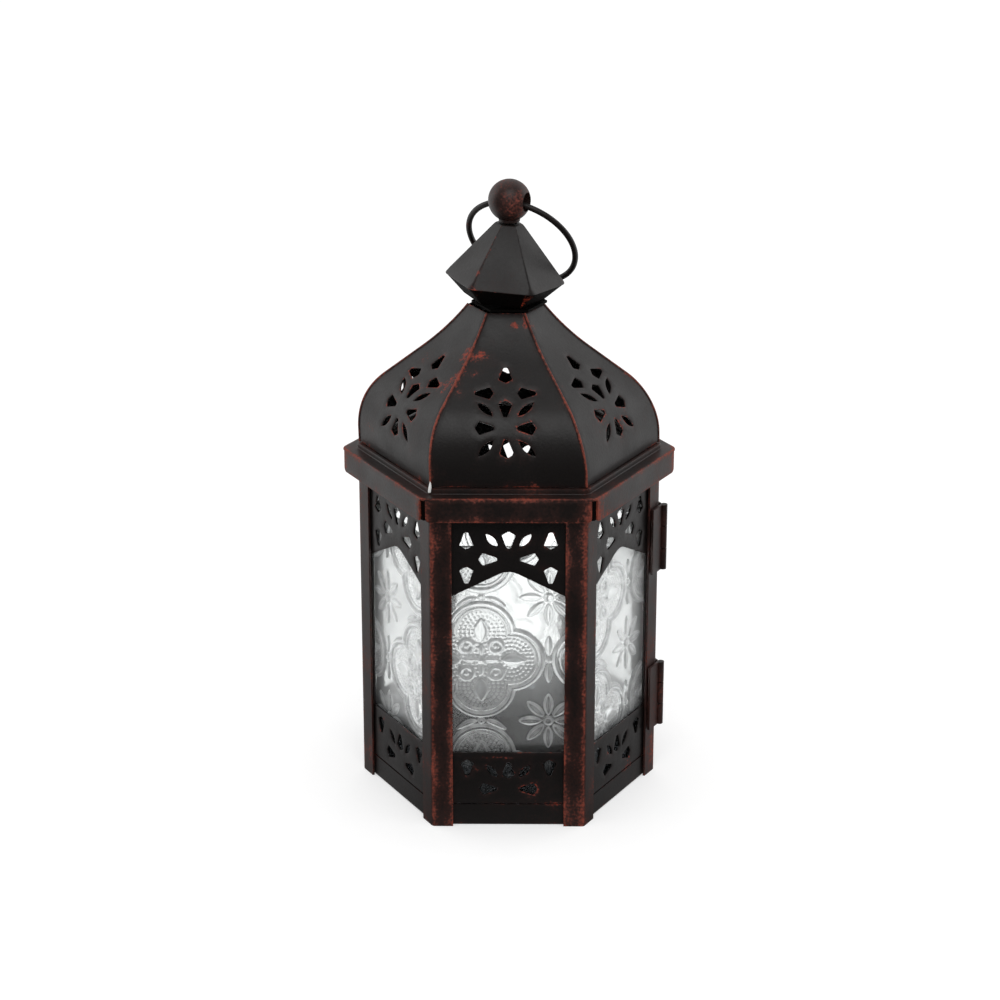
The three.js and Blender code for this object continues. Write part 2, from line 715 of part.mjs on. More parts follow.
// Turn button on the rear right post: it hangs open, and turns across the door's free stile to shut it
function makeButton(group) {
  const pivot = buttonPivot();
  const bore = rivetRadius + pinClearance;
  const face = bodyFace + gap;
  const end = buttonWidth / 2;
  const outline = new THREE.Shape();
  outline.moveTo(pivot + end, buttonCentre);
  outline.absarc(pivot, buttonCentre, end, 0, Math.PI, false);
  outline.absarc(pivot, buttonCentre - buttonLength + buttonWidth, end, Math.PI, 2 * Math.PI, false);
  const hole = new THREE.Path();
  hole.absarc(pivot, buttonCentre, bore, 0, 2 * Math.PI, true);
  outline.holes.push(hole);
  const geometry = new THREE.ExtrudeGeometry(outline, { depth: sheet, bevelEnabled: false, curveSegments: 8 });
  geometry.rotateX(Math.PI / 2).translate(0, -face, 0);
  addPiece(group, "turn_button", geometry, steel);
  const rivetStack = [
    [0, postBack - gap - sheet],
    [rivetHeadRadius, postBack - gap - sheet],
    [rivetHeadRadius, postBack - gap],
    [rivetRadius, postBack - gap],
    [rivetRadius, face + sheet + gap],
    [rivetHeadRadius, face + sheet + gap],
    [rivetHeadRadius, face + 2 * sheet + gap],
    [0, face + 2 * sheet + gap],
  ];
  const profile = rivetStack.map(([radius, distance]) => new THREE.Vector2(radius, distance));
  const rivet = new THREE.LatheGeometry(profile, 12).rotateX(Math.PI).translate(pivot, 0, buttonCentre);
  addPiece(group, "button_rivet", rivet, steel);
}

makeTray();
makePosts();
makeFaces();
makeKeepers();
makeCornice();
makeRoof();
makeStem();
makeCap();
makeBall();
makeRing();
const doorGroup = faceGroup(doorIndex);
makeHinges(faceGroup(doorIndex - 1), doorGroup);
makeDoor(doorGroup);
makeButton(doorGroup);

export default lantern;
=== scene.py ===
import json
import math

import bmesh
import bpy
import numpy as np
from mathutils import Matrix, Vector
from mathutils.geometry import delaunay_2d_cdt


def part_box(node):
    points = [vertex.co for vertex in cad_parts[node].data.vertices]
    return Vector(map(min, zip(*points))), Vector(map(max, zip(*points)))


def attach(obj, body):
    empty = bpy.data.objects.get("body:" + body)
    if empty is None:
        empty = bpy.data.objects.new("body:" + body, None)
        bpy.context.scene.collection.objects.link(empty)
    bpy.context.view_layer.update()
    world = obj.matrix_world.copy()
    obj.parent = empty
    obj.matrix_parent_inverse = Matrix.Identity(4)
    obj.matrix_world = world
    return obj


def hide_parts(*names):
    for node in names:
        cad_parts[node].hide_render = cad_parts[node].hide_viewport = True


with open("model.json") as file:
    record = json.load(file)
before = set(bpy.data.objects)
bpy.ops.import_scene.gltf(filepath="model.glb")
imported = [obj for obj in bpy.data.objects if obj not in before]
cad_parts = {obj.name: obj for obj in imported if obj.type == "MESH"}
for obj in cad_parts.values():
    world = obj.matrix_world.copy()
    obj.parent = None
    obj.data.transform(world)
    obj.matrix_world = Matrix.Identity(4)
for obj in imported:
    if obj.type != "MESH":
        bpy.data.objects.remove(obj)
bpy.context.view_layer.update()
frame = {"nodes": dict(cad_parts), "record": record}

# A hexagonal candle lantern of painted sheet steel, in metres, +Z up, its front face towards -Y.
# Each section below makes one piece, or a group of like pieces, in the order they are put together.
MM = 0.001

# Camera
# Looks down on the front face at about 21 degrees, from a little over three quarters of a metre away.
def put(name, data):
    """Adds an object of this data to the scene."""
    thing = bpy.data.objects.new(name, data)
    bpy.context.scene.collection.objects.link(thing)
    return thing


camera_place = Vector((2.27, -727.9, 361.35)) * MM
camera_aim = Vector((-2.45, 0, 80.66)) * MM
camera = put("camera", bpy.data.cameras.new("camera"))
camera.data.sensor_width = 36
camera.data.lens = 103.68
camera.location = camera_place
camera.rotation_euler = (camera_aim - camera_place).to_track_quat("-Z", "Y").to_euler()
bpy.context.scene.camera = camera
bpy.context.scene.view_settings.view_transform = "Standard"


# Floor, surroundings and light
# A plain white floor in a white studio. Materials are written as expressions on shader sockets, which
# the two classes here turn into nodes.
class Value:
    """A shader socket that Python's operators work on, each adding one Math node."""

    def __init__(self, finish, socket):
        self.finish = finish
        self.socket = socket

    def maths(self, operation, other):
        return self.finish.node("ShaderNodeMath", {"operation": operation}, {0: self, 1: other})

    def __add__(self, other):
        return self.maths("ADD", other)

    def __sub__(self, other):
        return self.maths("SUBTRACT", other)

    def __mul__(self, other):
        return self.maths("MULTIPLY", other)

    def __rsub__(self, other):
        return self * -1 + other

    __radd__ = __add__
    __rmul__ = __mul__


class Finish:
    """A material's nodes or the world's. Its method node adds one of any type and wires its sockets."""

    def __init__(self, name, owner=None):
        self.owner = owner or bpy.data.materials.new(name)
        self.owner.use_nodes = True
        self.tree = self.owner.node_tree
        self.tree.nodes.clear()

    def node(self, kind, settings=None, inputs=None, output=None):
        made = self.tree.nodes.new(kind)
        for key, value in (settings or {}).items():
            setattr(made, key, value)
        for key, value in (inputs or {}).items():
            if isinstance(value, Value):
                self.tree.links.new(value.socket, made.inputs[key])
            else:
                made.inputs[key].default_value = value
        enabled = [socket for socket in made.outputs if socket.enabled]
        if enabled:
            return Value(self, made.outputs[output] if output else enabled[0])
        return None

    def path(self, kind):
        """1 for rays of the named kind."""
        return self.node("ShaderNodeLightPath", output=f"Is {kind} Ray")

    def ramp(self, value, low, high):
        """0 below low and 1 above high, with a smooth rise between."""
        settings = {"interpolation_type": "SMOOTHSTEP"}
        return self.node("ShaderNodeMapRange", settings, {"Value": value, "From Min": low, "From Max": high})

    def blend(self, share, first, second):
        """The first colour where share is 0 and the second where it is 1."""
        factor, first_colour, second_colour = 0, 6, 7
        inputs = {factor: share, first_colour: first, second_colour: second}
        return self.node("ShaderNodeMix", {"data_type": "RGBA"}, inputs)

    def layered(self, share, first, second):
        """The first shader where share is 0 and the second where it is 1."""
        return self.node("ShaderNodeMixShader", inputs={0: share, 1: first, 2: second})

    def surface(self, shader):
        self.node("ShaderNodeOutputMaterial", inputs={"Surface": shader})
        return self.owner


floor_half = 4
floor_glow = 0.44
floor_glow_in_glass = 1.1
floor_colour = (0.6, 0.6, 0.6, 1)
front_sheen = 0.02
near_sheen = 0.36
far_sheen = 0.5
floor_finish = Finish("floor")
floor_place = floor_finish.node("ShaderNodeNewGeometry")
floor_y = floor_finish.node("ShaderNodeSeparateXYZ", inputs={0: floor_place}, output="Y")
floor_reach = floor_finish.node("ShaderNodeVectorMath", {"operation": "LENGTH"}, {0: floor_place})
behind = floor_finish.ramp(floor_y, -0.07, 0.02)
sheen = behind * (floor_finish.ramp(floor_reach, 0.05, 0.3) * far_sheen + near_sheen) + front_sheen
glow = floor_finish.path("Camera") * floor_glow + floor_finish.path("Transmission") * floor_glow_in_glass
floor_light = floor_finish.node("ShaderNodeEmission", inputs={"Strength": glow})
floor_paint = floor_finish.node("ShaderNodeBsdfDiffuse", inputs={"Color": floor_colour})
floor_lit = floor_finish.node("ShaderNodeAddShader", inputs={0: floor_light, 1: floor_paint})
floor_mirrored = floor_finish.node("ShaderNodeEmission", inputs={"Strength": sheen})
mirror_ray = floor_finish.path("Glossy") * (1 - floor_finish.path("Transmission"))
floor_shader = floor_finish.layered(mirror_ray, floor_lit, floor_mirrored)
floor_corners = [(x * floor_half, y * floor_half, 0) for x, y in ((-1, -1), (1, -1), (1, 1), (-1, 1))]
floor_mesh = bpy.data.meshes.new("floor")
floor_mesh.from_pydata(floor_corners, [], [(0, 1, 2, 3)])
floor_mesh.materials.append(floor_finish.surface(floor_shader))
floor = put("floor", floor_mesh)

sky_light_level = 0.95
sky_in_glass = 1.65
sky_front_gloss = 0.08
sky_rear_gloss = 0.55
studio = bpy.data.worlds.new("studio")
bpy.context.scene.world = studio
sky = Finish("studio", studio)
sky_way = sky.node("ShaderNodeTexCoord", output="Generated")
sky_y = sky.node("ShaderNodeSeparateXYZ", inputs={0: sky_way}, output="Y")
sky_gloss = sky.ramp(sky_y, -0.25, 0.3) * sky_rear_gloss + sky_front_gloss
sky_gloss = sky_gloss * (1 - sky.path("Transmission"))
sky_seen = sky.path("Camera") + sky.path("Transmission") * sky_in_glass
sky_strength = sky_seen + sky.path("Diffuse") * sky_light_level + sky.path("Glossy") * sky_gloss
sky_light = sky.node("ShaderNodeBackground", inputs={"Color": (1, 1, 1, 1), "Strength": sky_strength})
sky.node("ShaderNodeOutputWorld", inputs={"Surface": sky_light})

lantern_middle = Vector((0, 0, 0.09))


def softbox(name, place, size, power):
    """A square soft light that faces the middle of the lantern."""
    light = bpy.data.lights.new(name, "AREA")
    light.size = size
    light.energy = power
    lamp = put(name, light)
    lamp.location = place
    lamp.rotation_euler = (lantern_middle - lamp.location).to_track_quat("-Z", "Y").to_euler()


softbox("light_front_top", (0.05, -0.62, 0.87), size=0.65, power=2.2)
softbox("light_left", (-0.9, 0.35, 0.45), size=0.7, power=1)
softbox("light_right", (0.9, 0.35, 0.45), size=0.7, power=1)


# Base tray
# A hexagonal pan pressed from one sheet: a flat floor with a wall turned up all round it, which carries
# the panels and the panes. Its section is swept round the hexagon.
SHEET = 0.6 * MM
HALF_SIDE = math.tan(math.radians(30))
FLATNESS = math.cos(math.radians(30))
COOL_BLACK = (0.0062, 0.006, 0.0057, 1)
WARM_BLACK = (0.0062, 0.0058, 0.0054, 1)
DULL_SHADE_BLACK = (0.0015, 0.0014, 0.0013, 1)
RED_OXIDE = (0.135, 0.021, 0.009, 1)
DULL_SHADED_SIDE = -1
blotch_scale = 210
grain_scale = 1500
cloud_scale = 75


def noise(finish, place, scale, detail=2, roughness=0.5):
    inputs = {"Vector": place, "Scale": scale, "Detail": detail, "Roughness": roughness}
    return finish.node("ShaderNodeTexNoise", inputs=inputs)


def principled(finish, inputs):
    return finish.node("ShaderNodeBsdfPrincipled", inputs=inputs)


def painted(name, dark, rust, start, spread, dust, stretch=1.0, roughness=0.34, gloss=0.5):
    """Semi-matte black paint, rubbed through to red oxide where a piece's wear is high.

    Wear below zero marks the back of a sheet: dead black, partly its first dull coat and partly painted shade
    that keeps the holes through the sheet dark.
    """
    finish = Finish(name)
    place = finish.node("ShaderNodeTexCoord", output="Object")
    streaked = finish.node("ShaderNodeMapping", inputs={"Vector": place, "Scale": (1, 1, stretch)})
    worn = finish.node("ShaderNodeAttribute", {"attribute_name": "wear"}, output="Fac")
    blotch = noise(finish, streaked, blotch_scale, detail=4, roughness=0.62)
    grain = noise(finish, place, grain_scale, detail=3)
    cloud = noise(finish, place, cloud_scale)
    level = worn + (blotch - 0.5) * 1.5 + (grain - 0.5) * 1.1 + (cloud - 0.5) * 1.5
    bare = finish.ramp(level, start, start + spread)
    haze = finish.ramp(level, start - 0.6, start + 0.1) * dust + dust * 0.3
    base = finish.blend(haze, dark, rust)
    bright = [1.6 * part for part in rust[:3]] + [1]
    undercoat = finish.blend(finish.ramp(grain, 0.4, 0.62), rust, bright)
    relief = {"Strength": 0.4, "Distance": 0.08 * MM, "Height": grain + bare * 0.5}
    outside = {
        "Base Color": finish.blend(bare, base, undercoat),
        "Roughness": bare * 0.18 + grain * 0.16 + (cloud - 0.5) * 0.35 + roughness,
        "Normal": finish.node("ShaderNodeBump", inputs=relief),
        "Specular IOR Level": gloss,
    }
    # The back of a sheet: dead black, partly its first coat and partly painted shade for the dark inside
    # behind the holes.
    inside = {"Base Color": DULL_SHADE_BLACK, "Roughness": grain * 0.2 + 0.6, "Specular IOR Level": 0.1}
    side = finish.ramp(worn, 0.3 * DULL_SHADED_SIDE, 0.7 * DULL_SHADED_SIDE)
    return finish.surface(finish.layered(side, principled(finish, outside), principled(finish, inside)))


black_paint = painted("black_paint", COOL_BLACK, (0.15, 0.018, 0.0065, 1), start=0.62, spread=0.45, dust=0.05)
rubbed_paint = painted("rubbed_paint", WARM_BLACK, RED_OXIDE, start=0.38, spread=0.75, dust=0.12, stretch=0.5)
finishes = {"paint": black_paint, "rubbed_paint": rubbed_paint}


def tidied(mesh):
    """Joins points that meet, and turns every face outwards."""
    work = bmesh.new()
    work.from_mesh(mesh)
    bmesh.ops.remove_doubles(work, verts=work.verts, dist=1e-7)
    bmesh.ops.recalc_face_normals(work, faces=work.faces)
    work.to_mesh(mesh)
    work.free()


def add_piece(name, shells, slot, replaces, body="frame", crease=32, finish=None):
    """Makes one object of closed shells, each (points, faces, wear), and rides it on a CAD body.

    Its finish is its slot's, unless it is given another.
    """
    points, faces, wear = [], [], []
    for shell_points, shell_faces, shell_wear in shells:
        faces += [tuple(corner + len(points) for corner in face) for face in shell_faces]
        points += [tuple(point) for point in shell_points]
        wear += list(shell_wear)
    mesh = bpy.data.meshes.new(name)
    mesh.from_pydata(points, [], faces)
    mesh.attributes.new("wear", "FLOAT", "POINT").data.foreach_set("value", wear)
    tidied(mesh)
    mesh.shade_smooth()
    mesh.set_sharp_from_angle(angle=math.radians(crease))
    mesh.materials.append(finish or finishes[slot])
    piece = put(name, mesh)
    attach(piece, body)
    if replaces:
        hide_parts(*replaces)
    return piece


def on_face(face, along, distance, height):
    """Points on one side of the hexagon, from places along it, distances from the axis and heights."""
    turn = face * math.pi / 3
    x = along * math.cos(turn) + distance * math.sin(turn)
    y = along * math.sin(turn) - distance * math.cos(turn)
    return np.stack(np.broadcast_arrays(x, y, height), axis=-1)


def loft(rows, count, closed=True):
    """Faces between rows of points, each row a ring; unless the rows close up too, both ends get a face."""
    faces = []
    for row in range(rows if closed else rows - 1):
        after = (row + 1) % rows
        for i in range(count):
            j = (i + 1) % count
            faces.append((row * count + i, row * count + j, after * count + j, after * count + i))
    if not closed:
        faces += [tuple(range(count)), tuple(range((rows - 1) * count, rows * count))]
    return faces


def hexagon_sweep(section, rounding, corner_wear=0.0, steps=24):
    """A closed section of (distance, height, wear) carried round the hexagon over rounded corners.

    The corners' wear is one number, or six from the front right corner on.
    """
    distance, height, wear = (np.array(column) for column in zip(*section))
    radius = np.minimum(rounding, distance / 2)
    corner_wear = np.broadcast_to(corner_wear, 6)
    rings, worn = [], []
    for face in range(6):
        for share in np.linspace(-1, 1, steps):
            rings.append(on_face(face, share * (distance - radius) * HALF_SIDE, distance, height))
            worn.append(wear + corner_wear[face - (share < 0)] * max(0, abs(share) - 0.9) * 10)
        for bend in np.radians((15, 30, 45)):
            along = (distance - radius) * HALF_SIDE + radius * math.sin(bend)
            rings.append(on_face(face, along, distance - radius * (1 - math.cos(bend)), height))
            worn.append(wear + corner_wear[face])
    return np.concatenate(rings), loft(len(rings), len(section)), np.concatenate(worn)


tray_low, tray_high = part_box("base_tray")
panel_face = -tray_low.y
panel_back = panel_face - SHEET
tray_bend = 0.4 * MM
tray_bend_top = 1.2 * MM
tray_section = [
    (0, 0, 0),
    (panel_face - tray_bend, 0, 0.3),
    (panel_face, tray_bend, 0.55),
    (panel_face, tray_bend_top, 0.2),
    (panel_face, tray_high.z - 0.8 * MM, 0.1),
    (panel_face, tray_high.z, 0.45),
    (panel_back, tray_high.z, 0.3),
    (panel_back, tray_bend_top, 0),
    (panel_back - 0.5 * MM, SHEET, 0),
    (0, SHEET, 0),
]
add_piece("tray", [hexagon_sweep(tray_section, rounding=0.3 * MM)], "paint", ["base_tray"])


# Corner posts
# Six strips folded along their length to fit the corners, with a flange on each of two faces. Handling
# has rubbed the fold and the flanges' edges down to the red undercoat. The posts at the door are cut
# back: a narrow return on the hinge side and a narrow stop on the latch side.
CORNERS = ["right", "rear_right", "rear_left", "left", "front_left", "front_right"]
post_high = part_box("post_front_left")[1]
body_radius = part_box("post_right")[1].x
body_face = body_radius * FLATNESS
face_corner = body_face * HALF_SIDE
post_flange = 5.5 * MM
hinge_return = 1.6 * MM
latch_flange = 2.6 * MM
fold_radius = 0.5 * MM
fold_blunt = 0.16 * MM
edge_round = 0.1 * MM
rub_width = 1.2 * MM
post_rows = 25


def strip_side(side, places, radius=body_radius):
    """Points of a folded strip at the corner on +X: distance from the fold along one face, and depth."""
    return [
        (radius - 0.5 * along - FLATNESS * depth, side * (FLATNESS * along - 0.5 * depth), wear)
        for along, depth, wear in places
    ]


def folded_strip(corner, section, heights, end_rub=0.0):
    """A closed shell of a strip's section, turned to its corner and carried up through the heights."""
    turn = Matrix.Rotation(corner * math.pi / 3, 3, "Z")
    points = [turn @ Vector((x, y, z)) for z in heights for x, y, _ in section]
    ends = [end_rub * abs((z - heights[0]) / (heights[-1] - heights[0]) - 0.5) ** 3 for z in heights]
    wear = [worn + (1 - worn) * end for end in ends for *_, worn in section]
    return points, loft(len(heights), len(section), closed=False), wear


def flange_places(length, rub):
    """A flange's (along, depth, wear) from the fold out, rubbed most beside the fold and at its edge."""
    places = [(fold_radius, 0, 0.82 * rub), (rub_width, 0, 0.46 * rub)]
    if length > 3 * rub_width:
        places += [(2 * rub_width, 0, 0.2), (length - 1.6 * rub_width, 0, 0.18)]
        places.append((length - 0.7 * rub_width, 0, 0.46 * rub))
    places += [(length - edge_round, 0, 0.78 * rub), (length, edge_round, 0.8 * rub)]
    return places + [(length, SHEET, 0.4 * rub)]


side_rub = 0.5
usual_rub = 0.9
flange_rub = {
    "front_left": (side_rub, 1),
    "front_right": (1, side_rub),
    "left": (usual_rub, side_rub),
    "right": (side_rub, usual_rub),
}
for index, corner in enumerate(CORNERS):
    before = latch_flange if corner == "rear_right" else post_flange
    after = hinge_return if corner == "right" else post_flange
    rub_before, rub_after = flange_rub.get(corner, (usual_rub, usual_rub))
    tip = [(body_radius - fold_blunt, 0, usual_rub)]
    fold_inside = [(body_radius - SHEET / FLATNESS, 0, 0)]
    section = strip_side(-1, flange_places(before, rub_before))[::-1] + tip
    section += strip_side(1, flange_places(after, rub_after)) + fold_inside
    post = folded_strip(index, section, np.linspace(0, post_high.z, post_rows), end_rub=1.5)
    add_piece(f"corner_post_{corner}", [post], "rubbed_paint", [f"post_{corner}"])


# Pierced panels
# Five sheet panels stand on the tray's wall behind the posts. Each has an arched window and two frets
# of punched kites and leaves: half a rosette over the arch and another under the sill, with a kite
# towards each corner. The punched edges are slightly turned in and rubbed.
def inside(points, rings):
    """Which points lie inside the outline and outside its holes."""
    found = np.zeros(len(points), bool)
    for ring in rings:
        for (ax, ay), (bx, by) in zip(ring, np.roll(ring, -1, axis=0)):
            crosses = (ay > points[:, 1]) != (by > points[:, 1])
            at = (bx - ax) * (points[:, 1] - ay) / (by - ay if by != ay else 1) + ax
            found ^= crosses & (points[:, 0] < at)
    return found


def edge_distance(points, rings):
    """Distance from each point to the nearest edge of the outline or a hole."""
    best = np.full(len(points), np.inf)
    for ring in rings:
        for start, end in zip(ring, np.roll(ring, -1, axis=0)):
            run = end - start
            share = np.clip((points - start) @ run / (run @ run), 0, 1)
            best = np.minimum(best, np.linalg.norm(points - start - share[:, None] * run, axis=1))
    return best


def dense(ring, step):
    """The ring with points added so that no edge is longer than the step."""
    points = []
    for start, end in zip(ring, np.roll(ring, -1, axis=0)):
        pieces = max(1, math.ceil(np.linalg.norm(end - start) / step))
        points += [start + (end - start) * i / pieces for i in range(pieces)]
    return np.array(points)


sheet_step = 0.9 * MM
hem = 0.4 * MM
turned_in = 0.12 * MM


def sheet_shell(rings, place, edge_wear, scuffs=()):
    """A sheet with holes, from an outline and its holes; place maps (along, up, depth) into space.

    A scuff is a rubbed spot: its middle, its half length and half height in mm, and how far it is worn.
    The back is marked as the dull side, which is partly painted shade.
    """
    rings = [dense(np.array(ring, float), sheet_step) for ring in rings]
    for i, ring in enumerate(rings):
        area = np.sum(ring[:, 0] * np.roll(ring[:, 1], -1) - np.roll(ring[:, 0], -1) * ring[:, 1])
        if (area > 0) != (i == 0):
            rings[i] = ring[::-1]
    border = np.concatenate(rings)
    inner = []
    for ring in rings:
        run = np.roll(ring, -1, axis=0) - np.roll(ring, 1, axis=0)
        inwards = hem * np.stack([-run[:, 1], run[:, 0]], axis=1)
        inner.append(ring + inwards / np.linalg.norm(run, axis=1)[:, None])
    inner = np.concatenate(inner)
    inner = inner[inside(inner, rings) & (edge_distance(inner, rings) > 0.75 * hem)]
    low, high = border.min(axis=0), border.max(axis=0)
    spacing = 1.6 * sheet_step
    columns, rows = (np.arange(a + spacing / 2, b, spacing) for a, b in zip(low, high))
    grid = np.stack(np.meshgrid(columns, rows), axis=-1).reshape(-1, 2)
    grid = grid[inside(grid, rings) & (edge_distance(grid, rings) > hem + 0.35 * spacing)]
    flat = np.concatenate([border, inner, grid])
    edges, start = [], 0
    for ring in rings:
        edges += [(start + i, start + (i + 1) % len(ring)) for i in range(len(ring))]
        start += len(ring)
    tolerance = 1e-8
    found, _, triangles, *_ = delaunay_2d_cdt([Vector(point) for point in flat], edges, [], 0, tolerance)
    flat = np.array([tuple(point) for point in found])
    triangles = np.array(triangles)
    triangles = triangles[inside(flat[triangles].mean(axis=1), rings)]
    edge = edge_distance(flat, rings)
    at_edge = edge < tolerance
    front = place(flat[:, 0], flat[:, 1], np.where(at_edge, turned_in, 0))
    back = place(flat[:, 0], flat[:, 1], np.full(len(flat), SHEET))
    count = len(flat)
    faces = [tuple(face) for face in triangles] + [tuple(face[::-1] + count) for face in triangles]
    sides = dict.fromkeys(side for a, b, c in triangles for side in ((a, b), (b, c), (c, a)))
    for a, b in sides:
        if (b, a) not in sides:
            faces.append((b, a, a + count, b + count))
    wear = edge_wear * np.clip(1 - edge / (3 * hem), 0, 1) ** 1.5
    for along, up, half_length, half_height, depth in scuffs:
        spread = ((flat[:, 0] / MM - along) / half_length) ** 2 + ((flat[:, 1] / MM - up) / half_height) ** 2
        wear = np.maximum(wear, depth * np.exp(-spread))
    return np.concatenate([front, back]), faces, np.concatenate([wear, np.full(len(wear), DULL_SHADED_SIDE)])


def rounded(points, radius):
    """A polygon with each corner replaced by a short curve."""
    ring = []
    for before, corner, after in zip(np.roll(points, 1, axis=0), points, np.roll(points, -1, axis=0)):
        ends = []
        for beside in (before, after):
            length = np.linalg.norm(beside - corner)
            ends.append(corner + (beside - corner) / length * min(radius, 0.4 * length))
        start, end = ends
        for t in (0, 0.35, 0.65, 1):
            ring.append((1 - t) ** 2 * start + 2 * t * (1 - t) * corner + t**2 * end)
    return np.array(ring)


def turned(points, centre, turn, out):
    """Points of a hole that begins so far out from the centre, laid along the turn."""
    cosine, sine = math.cos(turn), math.sin(turn)
    start = np.array(centre) + out * np.array([cosine, sine])
    return np.array(points) @ np.array([[cosine, sine], [-sine, cosine]]) + start


kite_length = 4.9 * MM
kite_shape = np.array([(0, -0.5), (3.8, -1.85), (4.9, 0), (3.8, 1.85), (0, 0.5)]) * MM
kite_round = 0.35 * MM
leaf_half = 0.95 * MM
rosette_hub = 3 * MM


def kite(centre, turn, out, tip_inwards=True):
    shape = kite_shape if tip_inwards else np.array([kite_length, 0]) - kite_shape
    return rounded(turned(shape, centre, turn, out), kite_round)


def leaf(centre, turn, out, length):
    share = np.linspace(0, 1, 7)
    upper = [(length * t, leaf_half * math.sin(math.pi * t) ** 0.8) for t in share]
    lower = [(x, -y) for x, y in upper[-2:0:-1]]
    return turned(upper + lower, centre, turn, out)


window_half = face_corner - post_flange + 0.25 * MM
window_sill = 21.6 * MM
arch_peak = 74.4 * MM
arch_shoulder = 66.7 * MM
upper_fret = arch_peak + 2.8 * MM
lower_fret = window_sill - 10.9 * MM
corner_hole = face_corner - post_flange - 3.85 * MM
fret_leaf_turn = 0.88
fret_leaf_start = 4.4 * MM
fret_leaf_length = 4.9 * MM
arch_bend = 2.6 * MM


def half_rosette(height, top_tip_inwards):
    centre = (0, height)
    holes = [kite(centre, turn, rosette_hub) for turn in (0, math.pi)]
    holes.append(kite(centre, math.pi / 2, rosette_hub, top_tip_inwards))
    for turn in (fret_leaf_turn, math.pi - fret_leaf_turn):
        holes.append(leaf(centre, turn, fret_leaf_start, fret_leaf_length))
    return holes


def corner_kites(height, turn):
    return [kite((side * corner_hole, height), turn, 0, False) for side in (-1, 1)]


def rectangle(left, bottom, right, top):
    return [(left, bottom), (right, bottom), (right, top), (left, top)]


def panel_rings(left, bottom, right, top):
    """Outline of a panel, its window and its punched holes."""
    up, down = math.pi / 2, -math.pi / 2
    rise = (arch_peak - arch_shoulder) / window_half
    arch_top = arch_peak - rise * arch_bend / 2
    arch = [(x, arch_top - rise * x**2 / (2 * arch_bend)) for x in np.linspace(arch_bend, -arch_bend, 7)]
    sill = [(-window_half, window_sill), (window_half, window_sill)]
    window = [*sill, (window_half, arch_shoulder), *arch, (-window_half, arch_shoulder)]
    return [
        rectangle(left, bottom, right, top),
        window,
        *half_rosette(upper_fret, True),
        *corner_kites(upper_fret + 2.7 * MM, up),
        *corner_kites(upper_fret - 2 * MM, down),
        *half_rosette(lower_fret, False),
        *corner_kites(lower_fret + 8.8 * MM, down),
    ]


def flat_place(face, outer):
    return lambda along, up, depth: on_face(face, along, outer - depth, up)


FACES = ["front", "front_right", "rear_right", "rear", "rear_left", "front_left"]
panel_low, panel_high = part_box("panel_front")
panel_scuffs = {
    "front": [(-4, 20.3, 6, 0.5, 0.95), (-9.5, 17, 3, 1.5, 0.45), (-8, 69.5, 4, 0.8, 0.5)],
    "front_left": [(-9, 19.5, 6, 1.2, 0.6), (-13, 14, 2, 5, 0.4)],
    "front_right": [(-3, 15, 7, 4, 0.42), (6, 84, 5, 3, 0.45)],
}
for face, name in enumerate(FACES):
    if name != "rear_right":
        rings = panel_rings(panel_low.x, panel_low.z, panel_high.x, panel_high.z)
        scuffs = panel_scuffs.get(name, [(4, 19.8, 8, 1, 0.6)])
        shell = sheet_shell(rings, flat_place(face, panel_face), edge_wear=0.5, scuffs=scuffs)
        add_piece(f"pierced_panel_{name}", [shell], "paint", [f"panel_{name}"])


# Glass
# Five panes of clear pressed glass stand in the tray behind the panels. The traditional figure is
# raised on the outer side: medallions of four lobes with a beaded ground and a cross of leaves, and
# small daisies between them. Every pane is cut from the sheet at another place.
figure_pitch = 35.7 * MM
lobe_reach = 7.8 * MM
lobe_radius = 9 * MM
lobe_rim_half = 0.8 * MM
inner_rim_half = 0.4 * MM
inner_rim_inset = 2.15 * MM
bead_inset = 2.5 * MM
bead_pitch = 1.15 * MM
bead_radius = 0.34 * MM
stipple_inset = 2.4 * MM
stipple_frost = 0.3
eye_radius = 1.3 * MM
curl_place = 3.9 * MM
curl_radius = 1.7 * MM
vein_half = 0.3 * MM
leaf_droop = 60
relief_height = 0.8 * MM
steepest_rise = 0.8
glass_step = 0.24 * MM


def ridge(offset, half_width):
    return np.sqrt(np.clip(1 - (offset / half_width) ** 2, 0, 1))


def blade(along, across, start, end, half_width):
    """A pointed leaf with a keel, from start to end along its axis."""
    share = np.clip((along - start) / (end - start), 0, 1)
    width = half_width * np.sin(math.pi * share) ** 0.7 + 1e-9
    return np.clip(1 - np.abs(across) / width, 0, 1) ** 0.7 * (share > 0) * (share < 1)


def petal(along, across, start, end, half_width):
    """A plump leaf, round on top, from start to end along its axis."""
    share = np.clip((along - start) / (end - start), 0, 1)
    return ridge(across, half_width * np.sin(math.pi * share**0.8) ** 0.7 + 1e-9) * (share > 0) * (share < 1)


def lobes(x, z):
    """Distance and direction from the middle of the nearest lobe."""
    rho, phi = np.full(x.shape, np.inf), np.zeros(x.shape)
    for turn in range(4):
        cx, cz = lobe_reach * math.cos(turn * math.pi / 2), lobe_reach * math.sin(turn * math.pi / 2)
        radius = np.hypot(x - cx, z - cz)
        phi = np.where(radius < rho, np.arctan2(z - cz, x - cx), phi)
        rho = np.minimum(rho, radius)
    return rho, phi


def spun(x, z, turn):
    """Places along and across an axis at that turn."""
    cosine, sine = math.cos(turn), math.sin(turn)
    return x * cosine + z * sine, z * cosine - x * sine


